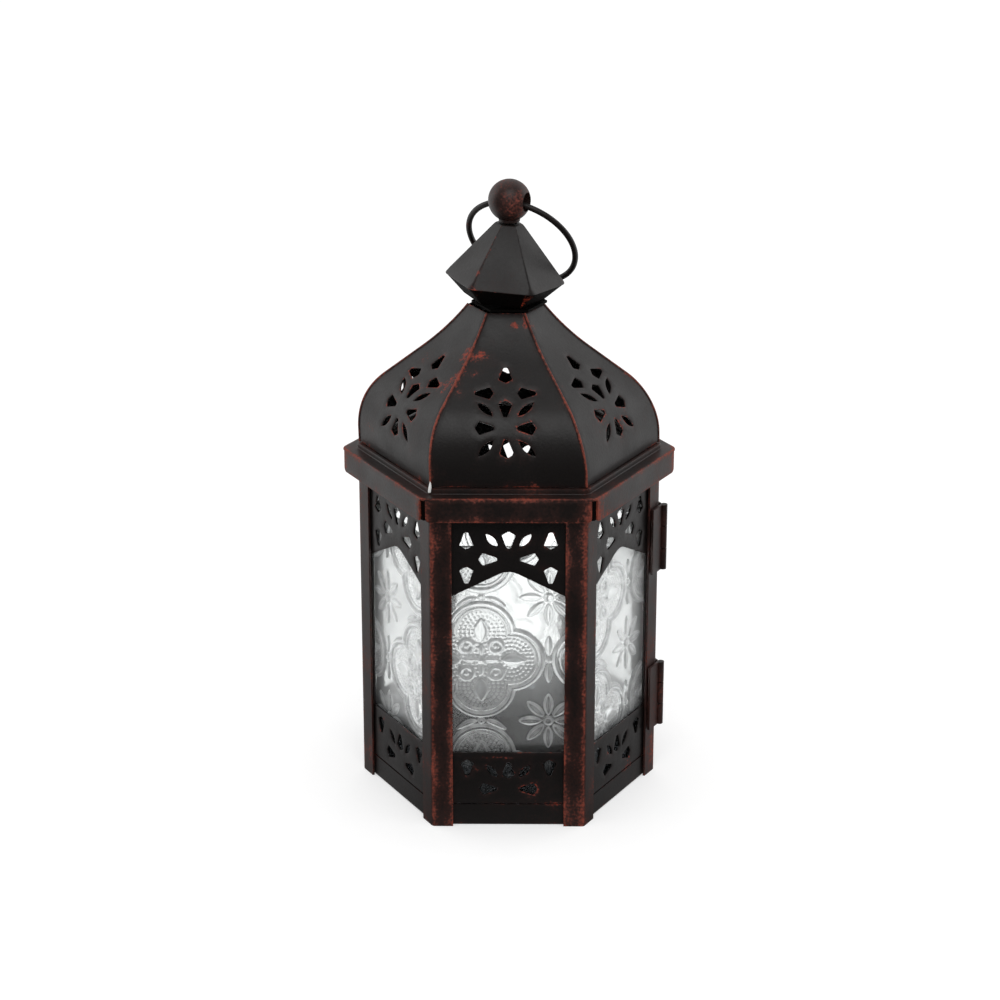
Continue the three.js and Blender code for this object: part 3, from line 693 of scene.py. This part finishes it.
def medallion(x, z):
    rho, phi = lobes(x, z)
    depth = rho - lobe_radius
    row = np.round(rho / bead_pitch)
    count = np.maximum(1, np.round(2 * math.pi * row))
    swing = phi * count / (2 * math.pi)
    beside = (swing - np.round(swing)) * 2 * math.pi * row * bead_pitch / count
    bead = np.exp(-((rho - row * bead_pitch) ** 2 + beside**2) / bead_radius**2)
    forms = [
        0.36 * bead * (depth < -bead_inset),
        ridge(depth + lobe_rim_half, lobe_rim_half),
        0.6 * ridge(depth + inner_rim_inset, inner_rim_half),
        ridge(np.hypot(x, z), eye_radius),
    ]
    for turn in range(4):
        along, across = spun(x, z, turn * math.pi / 2)
        from_curl = np.hypot(along - curl_place, across - curl_place)
        forms += [
            petal(along, across, start=5.4 * MM, end=12 * MM, half_width=2 * MM),
            0.8 * blade(along, across, start=1 * MM, end=4.6 * MM, half_width=1 * MM),
            0.85 * ridge(from_curl - curl_radius, 0.6 * MM),
            0.7 * ridge(from_curl, 0.7 * MM),
        ]
    return np.maximum.reduce(forms)


def daisy(x, z):
    forms = [0.8 * ridge(np.hypot(x, z), eye_radius)]
    for turn in range(8):
        along, across = spun(x, z, turn * math.pi / 4)
        vein = 1 - 0.5 * np.exp(-((across / vein_half) ** 2))
        forms.append(blade(along, across, start=1.8 * MM, end=7.8 * MM, half_width=1.25 * MM) * vein)
    return np.maximum.reduce(forms)


def link(x, z, droop=0):
    """A bead and two leaves where medallions touch; the leaves bend down by droop times length squared."""
    forms = [ridge(np.hypot(x, z), 0.9 * MM)]
    for side in (-1, 1):
        across = x + droop * z**2
        forms.append(0.8 * blade(side * z, across, start=1.2 * MM, end=6.6 * MM, half_width=0.9 * MM))
    return np.maximum.reduce(forms)


def around(value, shift):
    """Distance from the nearest repeat of the figure."""
    return (value + figure_pitch * (0.5 - shift)) % figure_pitch - figure_pitch / 2


def figure(x, z):
    """Height of the pressed figure, from 0 on the ground to 1 on the crests."""
    forms = [
        medallion(around(x, 0), around(z, 0)),
        daisy(around(x, 0.5), around(z, 0.5)),
        link(around(x, 0.5), around(z, 0)),
        link(around(z, 0.5), around(x, 0), leaf_droop),
    ]
    return np.maximum.reduce(forms)


clear_tint = (0.98, 0.995, 0.99, 1)
slope_shade_tint = (0.45, 0.48, 0.48, 1)
frost_tint = (0.96, 0.98, 0.98, 1)
shade_grey = (0.12, 0.13, 0.14, 1)
low_shade_foot = 15 * MM
low_shade_top = 26 * MM
haze_foot = 28 * MM
haze_top = 46 * MM
glass = Finish("pressed_glass")
glass_place = glass.node("ShaderNodeTexCoord", output="Object")
# On panes the wear attribute carries the relief's slope and the stipple's frost.
slope = glass.node("ShaderNodeAttribute", {"attribute_name": "wear"}, output="Fac")
ripple = noise(glass, glass_place, scale=300, detail=3)
glass_relief = {"Strength": 0.3, "Distance": 0.12 * MM, "Height": ripple}
glass_bump = glass.node("ShaderNodeBump", inputs=glass_relief)
glass_height = glass.node("ShaderNodeSeparateXYZ", inputs={0: glass_place}, output="Z")
# Painted shade: towards the foot of each pane the glass is tinted dark grey, for the shadow in the bottom of
# the lantern.
low_shade = glass.ramp(glass_height, low_shade_top, low_shade_foot)
# Painted shade: steep slopes of the relief are tinted darker grey, for the light they bend away.
steep = glass.ramp(slope, 0.7, 1)
clear_inputs = {
    "Base Color": glass.blend(low_shade, glass.blend(steep, clear_tint, slope_shade_tint), shade_grey),
    "Roughness": ripple * 0.08 + slope * 0.06 + 0.04,
    "IOR": 1.45,
    "Transmission Weight": 1,
    "Normal": glass_bump,
}
frost_inputs = {
    "Base Color": glass.blend(low_shade, frost_tint, shade_grey),
    "Roughness": 0.6,
    "IOR": 1.3,
    "Transmission Weight": 0.5,
    "Normal": glass_bump,
}
facing = glass.node("ShaderNodeLayerWeight", inputs={"Blend": 0.5}, output="Facing")
upper_haze = glass.ramp(glass_height, haze_foot, haze_top) * 0.16
haze = upper_haze + glass.ramp(facing, 0.1, 0.8) * 0.3
milkiness = haze + slope * (ripple * 0.8 + 0.1) - steep * 0.22 + 0.05
clear, frost = principled(glass, clear_inputs), principled(glass, frost_inputs)
finishes["glass"] = glass.surface(glass.layered(milkiness, clear, frost))


def pressed_pane(left, bottom, right, top, back, front, shift, face):
    """A pane with its figure raised on the outer side, and flat at the back."""
    columns = np.linspace(left, right, round((right - left) / glass_step) + 1)
    rows = np.linspace(bottom, top, round((top - bottom) / glass_step) + 1)
    along, up = np.meshgrid(columns, rows)
    raised = figure(along - shift[0], up - shift[1])
    outer = on_face(face, along, front - relief_height * (1 - raised), up).reshape(-1, 3)
    wide, tall = len(columns), len(rows)
    start = np.arange(wide * tall).reshape(tall, wide)
    quads = np.stack([start[:-1, :-1], start[:-1, 1:], start[1:, 1:], start[1:, :-1]], axis=-1).reshape(-1, 4)
    rim = [*start[0], *start[1:, -1], *start[-1, -2::-1], *start[-2:0:-1, 0]]
    behind = on_face(face, along.ravel()[rim], back, up.ravel()[rim])
    count = wide * tall
    faces = [tuple(quad) for quad in quads.tolist()]
    for i, here in enumerate(rim):
        j = (i + 1) % len(rim)
        faces.append((int(here), count + i, count + j, int(rim[j])))
    faces.append(tuple(range(count, count + len(rim))))
    rise_up, rise_along = np.gradient(raised * relief_height, glass_step)
    slope = np.clip(np.hypot(rise_up, rise_along) / steepest_rise, 0, 1)
    rho, _ = lobes(around(along - shift[0], 0), around(up - shift[1], 0))
    # The points carry the stipple's frost and the slope, which darkens the glass as painted shade.
    frost_and_shade = np.maximum(slope, stipple_frost * (rho - lobe_radius < -stipple_inset)).ravel()
    return np.concatenate([outer, behind]), faces, np.concatenate([frost_and_shade, np.zeros(len(rim))])


def add_pane(name, shell, node, body="frame"):
    pane = add_piece(name, [shell], "glass", [node], body, crease=50)
    pane.visible_shadow = False
    pane.visible_diffuse = False


pane_low, pane_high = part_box("glass_front")
glass_back, glass_front = -pane_high.y, -pane_low.y
figure_shift = {
    "front": (-7.2 * MM, 48.1 * MM),
    "front_right": (-10.5 * MM, 61 * MM),
    "rear": (5 * MM, 30 * MM),
    "rear_left": (-15 * MM, 45 * MM),
    "front_left": (9 * MM, 38 * MM),
}
for face, name in enumerate(FACES):
    if name in figure_shift:
        edges = (pane_low.x, pane_low.z, pane_high.x, pane_high.z)
        shell = pressed_pane(*edges, glass_back, glass_front, figure_shift[name], face)
        add_pane(f"pane_{name}", shell, f"glass_{name}")


# Cornice
# One sheet folded into a flange, a raised step for the roof and six flaps turned down over the heads of
# the panels. The flaps are slit from each other at the corners, rounded below, and rubbed at the ends.
cornice_low, cornice_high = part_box("cornice")
cornice_face = cornice_high.x * FLATNESS
flange_top = post_high.z + 0.3 * MM + SHEET
flange_bottom = flange_top - SHEET
riser = cornice_face - 3.4 * MM
ledge_inner = riser - 2.2 * MM
cornice_section = [
    (cornice_face, flange_bottom, 0.5),
    (cornice_face, flange_top - 0.3 * MM, 0.75),
    (cornice_face - 0.1 * MM, flange_top - 0.08 * MM, 0.85),
    (cornice_face - 0.35 * MM, flange_top, 0.6),
    (cornice_face - 0.9 * MM, flange_top, 0.12),
    (riser + 0.15 * MM, flange_top, 0),
    (riser, flange_top + 0.15 * MM, 0),
    (riser, cornice_high.z - 0.2 * MM, 0.1),
    (riser - 0.06 * MM, cornice_high.z - 0.06 * MM, 0.3),
    (riser - 0.2 * MM, cornice_high.z, 0.25),
    (ledge_inner, cornice_high.z, 0),
    (ledge_inner, cornice_high.z - SHEET, 0),
    (riser - SHEET, cornice_high.z - SHEET, 0),
    (riser - SHEET, flange_bottom, 0),
]
flap_half = cornice_face * HALF_SIDE - 1.06 * MM
flap_round = 1.1 * MM
flap_rub = 0.06
rubbed_end = 4.5 * MM
flap_top = flange_bottom + 0.15 * MM
arc = [math.radians(angle) for angle in (0, 30, 60, 90)]
flap_right = [
    (flap_half - flap_round * (1 - math.sin(a)), cornice_low.z + flap_round * (1 - math.cos(a))) for a in arc
]
flap_left = [(-x, z) for x, z in flap_right[::-1]]
flap_outline = [*flap_right, (flap_half, flap_top), (-flap_half, flap_top), *flap_left]
shells = [hexagon_sweep(cornice_section, rounding=2.4 * MM, corner_wear=0.2)]
for face in range(6):
    points, faces, wear = sheet_shell([flap_outline], flat_place(face, cornice_face), edge_wear=0.85)
    turn = face * math.pi / 3
    along = np.abs(points[:, 0] * math.cos(turn) + points[:, 1] * math.sin(turn))
    end_rub = np.clip((along - flap_half + rubbed_end) / rubbed_end, 0, 1) ** 1.5
    shells.append((points, faces, np.maximum(wear, flap_rub + 0.95 * end_rub)))
add_piece("folded_cornice", shells, "rubbed_paint", ["cornice"])


# Flap tabs
# Behind the slit at each corner of the cornice, a short folded tab is soldered across the two flaps. It is
# painted shade: a dead black sheet that darkens the slit where shadow falls.
# Dead black paint used as painted shade, here and on the cap's skirt and the collar.
painted_shade_look = {"start": 0.7, "spread": 0.4, "dust": 0.02, "roughness": 0.66, "gloss": 0.1}
painted_shade_black = painted("painted_shade_black", DULL_SHADE_BLACK, (0.14, 0.018, 0.007, 1), **painted_shade_look)
tab_reach = 3 * MM
tab_corner = (cornice_face - SHEET - 0.1 * MM) / FLATNESS
tab_section = strip_side(-1, [(tab_reach, SHEET, 0), (tab_reach, 0, 0)], tab_corner) + [(tab_corner, 0, 0)]
tab_section += strip_side(1, [(tab_reach, 0, 0), (tab_reach, SHEET, 0)], tab_corner)
tab_section.append((tab_corner - SHEET / FLATNESS, 0, 0))
tabs = [folded_strip(corner, tab_section, (cornice_low.z + 0.4 * MM, flap_top)) for corner in range(6)]
add_piece("flap_shade_tabs", tabs, "paint", [], finish=painted_shade_black)


# Roof
# Six gores cut from flat sheet and bent only upwards: a short upright skirt, a round shoulder, a straight
# slope and a slightly hollow throat. Each is pierced with a full rosette and three kites over it.
roof_low, roof_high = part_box("roof_gore_rear")
roof_radius = roof_high.y / FLATNESS
roof_skirt = 3.4 * MM
shoulder_radius = 20 * MM
roof_slope = math.radians(36.7)
throat_radius = 64 * MM
throat_turn = math.radians(15)
neck_radius = 10 * MM
neck_shift = 0.9 * MM
leaning_share = 0.45
shoulder_rows = 30
throat_rows = 16


def roof_profile():
    """Distance from the axis and height up the roof, in a corner plane."""
    turn = math.pi / 2 - roof_slope
    line = [(roof_radius, roof_low.z)]
    for a in np.linspace(0, turn, shoulder_rows):
        inset = shoulder_radius * (1 - math.cos(a))
        line.append((roof_radius - inset, roof_low.z + roof_skirt + shoulder_radius * math.sin(a)))
    throat_run = throat_radius * (math.sin(roof_slope + throat_turn) - math.sin(roof_slope))
    straight = line[-1][0] - throat_run - neck_radius
    bend = (line[-1][0] - straight, line[-1][1] + straight * math.tan(roof_slope))
    for a in np.linspace(roof_slope, roof_slope + throat_turn, throat_rows):
        run = throat_radius * (math.sin(a) - math.sin(roof_slope))
        rise = throat_radius * (math.cos(roof_slope) - math.cos(a))
        line.append((bend[0] - run, bend[1] + rise))
    return np.array(line)


corner_line = roof_profile()
gore_line = corner_line * np.array([FLATNESS, 1])
gore_run = np.concatenate([[0], np.cumsum(np.linalg.norm(np.diff(gore_line, axis=0), axis=1))])
gore_tangent = np.gradient(gore_line, gore_run, axis=0)
gore_tangent /= np.linalg.norm(gore_tangent, axis=1)[:, None]


def lean_left(points):
    """The roof was bent up by hand, and its neck stands a little left of the middle."""
    risen = np.clip((points[..., 2] - roof_low.z) / (leaning_share * (roof_high.z - roof_low.z)), 0, 1)
    return points - np.stack([neck_shift * risen**2 * (3 - 2 * risen), 0 * risen, 0 * risen], axis=-1)


def gore_place(face):
    def place(along, up, depth):
        distance, height, run_out, run_up = (
            np.interp(up, gore_run, column) for column in (*gore_line.T, *gore_tangent.T)
        )
        return lean_left(on_face(face, along, distance - run_up * depth, height + run_out * depth))

    return place


seam_gap = 0.17 * MM
rosette_up = 15.6 * MM
motif_up = rosette_up + 10 * MM
gore_leaf_start = 4.6 * MM
gore_leaf_length = 5.8 * MM
side_ups = np.linspace(0, gore_run[-1], 50)
sides = list(zip(np.interp(side_ups, gore_run, gore_line[:, 0]) * HALF_SIDE - seam_gap, side_ups))
gore_rings = [[(-x, up) for x, up in sides[::-1]] + sides]
for quarter in range(4):
    turn = quarter * math.pi / 2
    gore_rings.append(kite((0, rosette_up), turn, rosette_hub))
    gore_rings.append(leaf((0, rosette_up), turn + math.pi / 4, gore_leaf_start, gore_leaf_length))
for turn in (0, math.pi / 2, math.pi):
    gore_rings.append(kite((0, motif_up), turn, rosette_hub, False))
gore_scuffs = {
    "front": [
        (2.4, 45.4, 1.4, 1.2, 1.7),
        (5.2, 46.5, 1.2, 3.5, 1.4),
        (-6.3, 37, 2.5, 2.5, 0.55),
        (-8.5, 31.3, 3.5, 1.4, 0.58),
        (-12, 25, 1.5, 2, 0.62),
        (0.5, 40.5, 6, 1, 0.42),
        (1, 7.5, 5, 1.5, 0.5),
    ],
    "front_left": [(9, 6, 2.5, 3, 0.7), (-6, 30, 3, 2, 0.7), (7.5, 37, 1.5, 4, 0.8)],
    "front_right": [(-9, 10, 4, 5, 0.55), (-5, 44, 1.5, 4, 0.9), (9, 6, 3, 2, 0.6)],
}
gore_scuffs["front_left"] += [(11, 26, 1.5, 4, 0.8), (-13, 5, 3, 4, 0.7)]
gore_scuffs["front_right"] += [(0, 7, 4, 2, 0.55), (-12, 28, 1.5, 4, 0.7)]
scatter = np.random.default_rng(7)
for face, name in enumerate(FACES):
    anywhere = []
    for _ in range(4):
        middle = (scatter.uniform(-12, 12), scatter.uniform(3, 40))
        anywhere.append((*middle, *scatter.uniform(1.5, 4, 2), 0.5))
    scuffs = gore_scuffs.get(name, anywhere)
    shell = sheet_shell(gore_rings, gore_place(face), edge_wear=0.75, scuffs=scuffs)
    add_piece(f"gore_{name}", [shell], "paint", [f"roof_gore_{name}"])


# Roof seams
# Neighbouring gores are joined by a narrow folded seam that stands up along each corner of the roof. Its
# crest is rubbed to the red undercoat from end to end.
seam_half = [(0.17, 0.22, 1.1), (0.42, -0.05, 0.4), (0.6, -0.65, 0)]
seam_section = [(-side, rise, worn) for side, rise, worn in seam_half[::-1]] + seam_half
corner_tangent = np.gradient(corner_line, axis=0)
corner_tangent /= np.linalg.norm(corner_tangent, axis=1)[:, None]
for index, corner in enumerate(CORNERS):
    turn = index * math.pi / 3
    outwards = np.array([math.cos(turn), math.sin(turn), 0])
    across = np.array([-math.sin(turn), math.cos(turn), 0])
    up = np.array([0, 0, 1])
    rings, wear = [], []
    for (distance, height), (run_out, run_up) in zip(corner_line, corner_tangent):
        normal = outwards * run_up - up * run_out
        middle = outwards * distance + up * height
        rings += [middle + (across * side + normal * rise) * MM for side, rise, _ in seam_section]
        wear += [worn for *_, worn in seam_section]
    faces = loft(len(corner_line), len(seam_section), closed=False)
    add_piece(f"roof_seam_{corner}", [(lean_left(np.array(rings)), faces, wear)], "rubbed_paint", [])


# Solder
# A drop of solder, left bare of paint, closes the foot of the front left seam. Its near-white colour is a
# painted highlight, for a glint on the drop.
solder = Finish("solder")
solder_grain = noise(solder, solder.node("ShaderNodeTexCoord", output="Object"), scale=900)
# The near-white base colour is a painted glint.
solder_inputs = {
    "Base Color": solder.blend(solder_grain, (0.7, 0.7, 0.69, 1), (0.95, 0.95, 0.94, 1)),
    "Roughness": solder_grain * 0.3 + 0.2,
    "Metallic": 0.25,
}
solder_with_painted_glint = solder.surface(principled(solder, solder_inputs))
drop_turn = CORNERS.index("front_left") * math.pi / 3
step_corner = riser / FLATNESS
drop_reach = (step_corner - 0.2 * MM, step_corner - 0.5 * MM, roof_radius + 0.2 * MM, roof_radius)
drop_heights = (flange_top + 0.2 * MM, cornice_high.z - 0.1 * MM)
drop_heights += (roof_low.z + 0.5 * MM, roof_low.z + 2.4 * MM)
drop_girth = 0.42 * MM
drop_tip = 0.03 * MM
drop_rows = 13
drop_sides = 10
drop_rings = []
for share in np.linspace(0, 1, drop_rows):
    girth = drop_girth * math.sin(math.pi * share**0.45) ** 0.9 + drop_tip
    middle, height = (np.interp(share, (0, 0.3, 0.55, 1), line) for line in (drop_reach, drop_heights))
    for angle in np.linspace(0, 2 * math.pi, drop_sides, endpoint=False):
        out = middle + girth * math.cos(angle)
        aside = girth * math.sin(angle)
        x = out * math.cos(drop_turn) - aside * math.sin(drop_turn)
        y = out * math.sin(drop_turn) + aside * math.cos(drop_turn)
        drop_rings.append((x, y, height))
drop = (drop_rings, loft(drop_rows, drop_sides, closed=False), [0] * len(drop_rings))
add_piece("solder_drop", [drop], "steel", [], finish=solder_with_painted_glint)


# Cap
# A hollow hexagonal cap of two folded sheets, a skirt widening up to the rim and a steep roof over it. It
# sits on the collar and leans a few degrees to the right, and is turned a little on its stem.
cap_foot_radius = 10.5 * MM
cap_rim_radius = 16.2 * MM
cap_skirt_height = 5.2 * MM
cap_roof_height = 14.88 * MM
cap_top_radius = 3.6 * MM
cap_lean = math.radians(4.4)
cap_turn = math.radians(-4)
skirt_hole = 3.2 * MM
roof_hole = 1.9 * MM
ridge_blunt = 0.15 * MM
rim_blunt = 2.9 * MM
neck_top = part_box("neck_collar")[1].z
cap_height = cap_skirt_height + cap_roof_height
cap_top = neck_top + 0.3 * MM + cap_foot_radius * math.sin(cap_lean) + cap_height * math.cos(cap_lean)
rim_out = cap_rim_radius * FLATNESS
foot_out = cap_foot_radius * FLATNESS
top_out = cap_top_radius * FLATNESS
skirt_section = [
    (foot_out, -cap_height, 0.35),
    (rim_out - 0.1 * MM, -cap_roof_height - 0.1 * MM, 0.25),
    (rim_out - 0.7 * MM, -cap_roof_height - 0.1 * MM, 0),
    (foot_out - 0.6 * MM, -cap_height + SHEET, 0),
    (skirt_hole, -cap_height + SHEET, 0),
    (skirt_hole, -cap_height, 0),
]
roof_section = [
    (rim_out - 0.6 * MM, -cap_roof_height - 0.2 * MM, 0.1),
    (rim_out - 0.08 * MM, -cap_roof_height - 0.2 * MM, 0.35),
    (rim_out, -cap_roof_height - 0.05 * MM, 0.4),
    (rim_out - 0.1 * MM, -cap_roof_height + 0.18 * MM, 0.2),
    (rim_out - 1.2 * MM, -cap_roof_height * (1 - 1.1 * MM / (rim_out - top_out)), 0.05),
    (top_out + 0.5 * MM, -cap_roof_height * 0.5 * MM / (rim_out - top_out), 0.1),
    (top_out, -0.1 * MM, 0.3),
    (top_out - 0.3 * MM, 0, 0.2),
    (roof_hole, 0, 0),
    (roof_hole, -SHEET, 0),
    (top_out - 0.6 * MM, -SHEET, 0),
]
cap_place = Matrix.Translation((0, 0, cap_top)) @ Matrix.Rotation(cap_lean, 4, "Y")
cap_place = cap_place @ Matrix.Rotation(cap_turn, 4, "Z")
# The skirt is painted shade: dead black for the shadow under the cap's rim.
cap_sheets = [
    ("cap_skirt_sheet", skirt_section, "cap_skirt", (0.55, 0, 0, 0, 0, 0.1), painted_shade_black),
    ("cap_roof_sheet", roof_section, "cap_roof", (0.1, 0.2, 0.3, 0.2, 0.1, 0.5), black_paint),
]
for name, section, node, ridge_rub, finish in cap_sheets:
    blunt = [ridge_blunt + rim_blunt * (distance / rim_out) ** 14 for distance, *_ in section]
    points, faces, wear = hexagon_sweep(section, blunt, corner_wear=ridge_rub, steps=20)
    placed = [cap_place @ Vector(point) for point in points]
    add_piece(name, [(placed, faces, wear)], "paint", [node], crease=20, finish=finish)


# Ball
# A turned ball with a flat seat, screwed on the stem, with a cross hole flared at both mouths for the ring.
def revolved(profile, steps):
    """A closed shell of (radius, height, wear) turned about the axis."""
    points, wear = [], []
    for i in range(steps):
        angle = 2 * math.pi * i / steps
        points += [(r * math.cos(angle), r * math.sin(angle), z) for r, z, _ in profile]
        wear += [worn for *_, worn in profile]
    return points, loft(steps, len(profile)), wear


ball_low, ball_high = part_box("finial_ball")
ball_radius = 5.6 * MM
ball_neck = 2.8 * MM
hole_reach = 7 * MM
hole_mouth = 2.75 * MM
hole_waist = 2 * MM
spot_radius = 2.4 * MM
ball_rub = 0.28
crown_rub = 0.14
spot_rub = 0.22
ball_rows = 40
ball_centre = ball_high.z - ball_radius
ring_heading = math.radians(-24.4)
seat_angle = -math.acos(ball_neck / ball_radius)
ball_profile = [(0, ball_low.z, 0), (ball_neck, ball_low.z, 0.1)]
for angle in np.linspace(seat_angle, math.pi / 2, ball_rows):
    worn = ball_rub + crown_rub * math.sin(angle)
    ball_profile.append((ball_radius * math.cos(angle), ball_centre + ball_radius * math.sin(angle), worn))
ball_points, ball_faces, ball_wear = revolved(ball_profile, steps=64)
rubbed_spot = Vector((-0.1, -0.86, 0.5)) * ball_radius + Vector((0, 0, ball_centre))
nearness = [(Vector(point) - rubbed_spot).length / spot_radius for point in ball_points]
ball_wear = [worn + spot_rub * math.exp(-(near**2)) for worn, near in zip(ball_wear, nearness)]
ball = add_piece("ball", [(ball_points, ball_faces, ball_wear)], "rubbed_paint", ["finial_ball"])
hole_profile = [(0, -hole_reach, 0), (hole_mouth, -hole_reach, 0), (hole_waist, 0, 0)]
hole_profile += [(hole_mouth, hole_reach, 0), (0, hole_reach, 0)]
hole_points, hole_faces, _ = revolved(hole_profile, steps=32)
hole_mesh = bpy.data.meshes.new("cross_hole")
hole_mesh.from_pydata(hole_points, [], hole_faces)
tidied(hole_mesh)
hole_place = Matrix.Translation((0, 0, ball_centre)) @ Matrix.Rotation(ring_heading, 4, "Z")
hole_mesh.transform(hole_place @ Matrix.Rotation(math.pi / 2, 4, "Y"))
hole = put("cross_hole", hole_mesh)
cut = ball.modifiers.new("cut", "BOOLEAN")
cut.operation = "DIFFERENCE"
cut.object = hole
bored = bpy.data.meshes.new_from_object(ball.evaluated_get(bpy.context.evaluated_depsgraph_get()))
ball.modifiers.clear()
ball.data = bored
bored.set_sharp_from_angle(angle=math.radians(32))
bpy.data.objects.remove(hole)


# Hanging ring
# Round wire painted black, bent to a ring through the ball. It leans back against the cap and swings
# over the ball.
ring_radius = 15 * MM
wire_radius = 0.8 * MM
ring_sag = 0.6 * MM
ring_tilt = math.radians(32)
wire = []
for a in np.linspace(0, 2 * math.pi, 16, endpoint=False):
    wire.append((ring_radius + wire_radius * math.cos(a), wire_radius * math.sin(a), 0.1))
ring_points, ring_faces, ring_wear = revolved(wire, steps=96)
hang = Matrix.Translation((0, 0, ball_centre - ring_sag)) @ Matrix.Rotation(ring_heading, 4, "Z")
hang = hang @ Matrix.Rotation(ring_tilt, 4, "X") @ Matrix.Translation((0, 0, -ring_radius))
hang = hang @ Matrix.Rotation(math.pi / 2, 4, "X")
ring_points = [hang @ Vector(point) for point in ring_points]
add_piece("wire_ring", [(ring_points, ring_faces, ring_wear)], "paint", ["hanging_ring"], "ring")


# Door
# The rear right face is a door: a pierced panel between two stiles, hung on two butt hinges at the right
# corner, with a pane of its own held by folded clips.
door_face = FACES.index("rear_right")
door_low, door_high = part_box("door_panel")
door_gap = 0.5 * MM
hinge_edge = -face_corner + hinge_return + door_gap
latch_edge = face_corner - latch_flange - door_gap
rings = panel_rings(hinge_edge, door_low.z, latch_edge - 0.3 * MM, door_high.z)
door_shell = sheet_shell(rings, flat_place(door_face, panel_face), edge_wear=0.52)
add_piece("door_pierced_panel", [door_shell], "paint", ["door_panel"], "door")
opening = face_corner - post_flange
for side, left, right in (("hinge", hinge_edge, -opening), ("free", opening, latch_edge)):
    outline = rectangle(left, door_low.z, right, door_high.z)
    stile = sheet_shell([outline], flat_place(door_face, body_face), edge_wear=0.85)
    add_piece(f"door_stile_{side}", [stile], "rubbed_paint", [f"door_{side}_stile"], "door")
pane_half = window_half + 0.6 * MM
pane_bottom = door_low.z + 1.2 * MM
pane_edges = (-pane_half, pane_bottom, pane_half, pane_high.z)
door_pane = pressed_pane(*pane_edges, glass_back, glass_front, (3 * MM, 55 * MM), door_face)
add_pane("door_pane", door_pane, "door_glass", "door")


# Small fittings
# Hinges, pins, turn button, rivet, stem, nut, collar, lintel, glass keepers and clips keep the frame's
# shapes, with their edges eased. The lintel is black, the collar is dead black as painted shade under the
# cap, the hinge leaves are rubbed by hands, and all the others are blackened steel.
steel = Finish("blackened_steel")
steel_place = steel.node("ShaderNodeTexCoord", output="Object")
steel_streak = noise(steel, steel_place, scale=500, detail=3)
steel_patina = steel.ramp(steel_streak, 0.35, 0.7)
steel_inputs = {
    "Base Color": steel.blend(steel_patina, (0.05, 0.046, 0.043, 1), (0.11, 0.1, 0.092, 1)),
    "Roughness": steel_streak * 0.25 + 0.3,
    "Metallic": 0.9,
}
finishes["steel"] = steel.surface(principled(steel, steel_inputs))
handled_paint = painted("handled_paint", WARM_BLACK, RED_OXIDE, start=0.1, spread=0.8, dust=0.15, stretch=0.5)
slots = {part["node"]: part["material_slot"] for part in frame["record"]["subparts"]}
for name, node in frame["nodes"].items():
    if not node.hide_render:
        if not node.material_slots:
            node.data.materials.append(None)
        finish = finishes[slots[name]]
        # The collar is painted shade: dead black for the shadow under the cap.
        if name == "neck_collar":
            finish = painted_shade_black
        elif "hinge" in name and slots[name] == "paint":
            finish = handled_paint
        node.material_slots[0].link = "OBJECT"
        node.material_slots[0].material = finish
        ease = node.modifiers.new("ease", "BEVEL")
        ease.width = edge_round
        ease.segments = 2
        ease.angle_limit = math.radians(40)
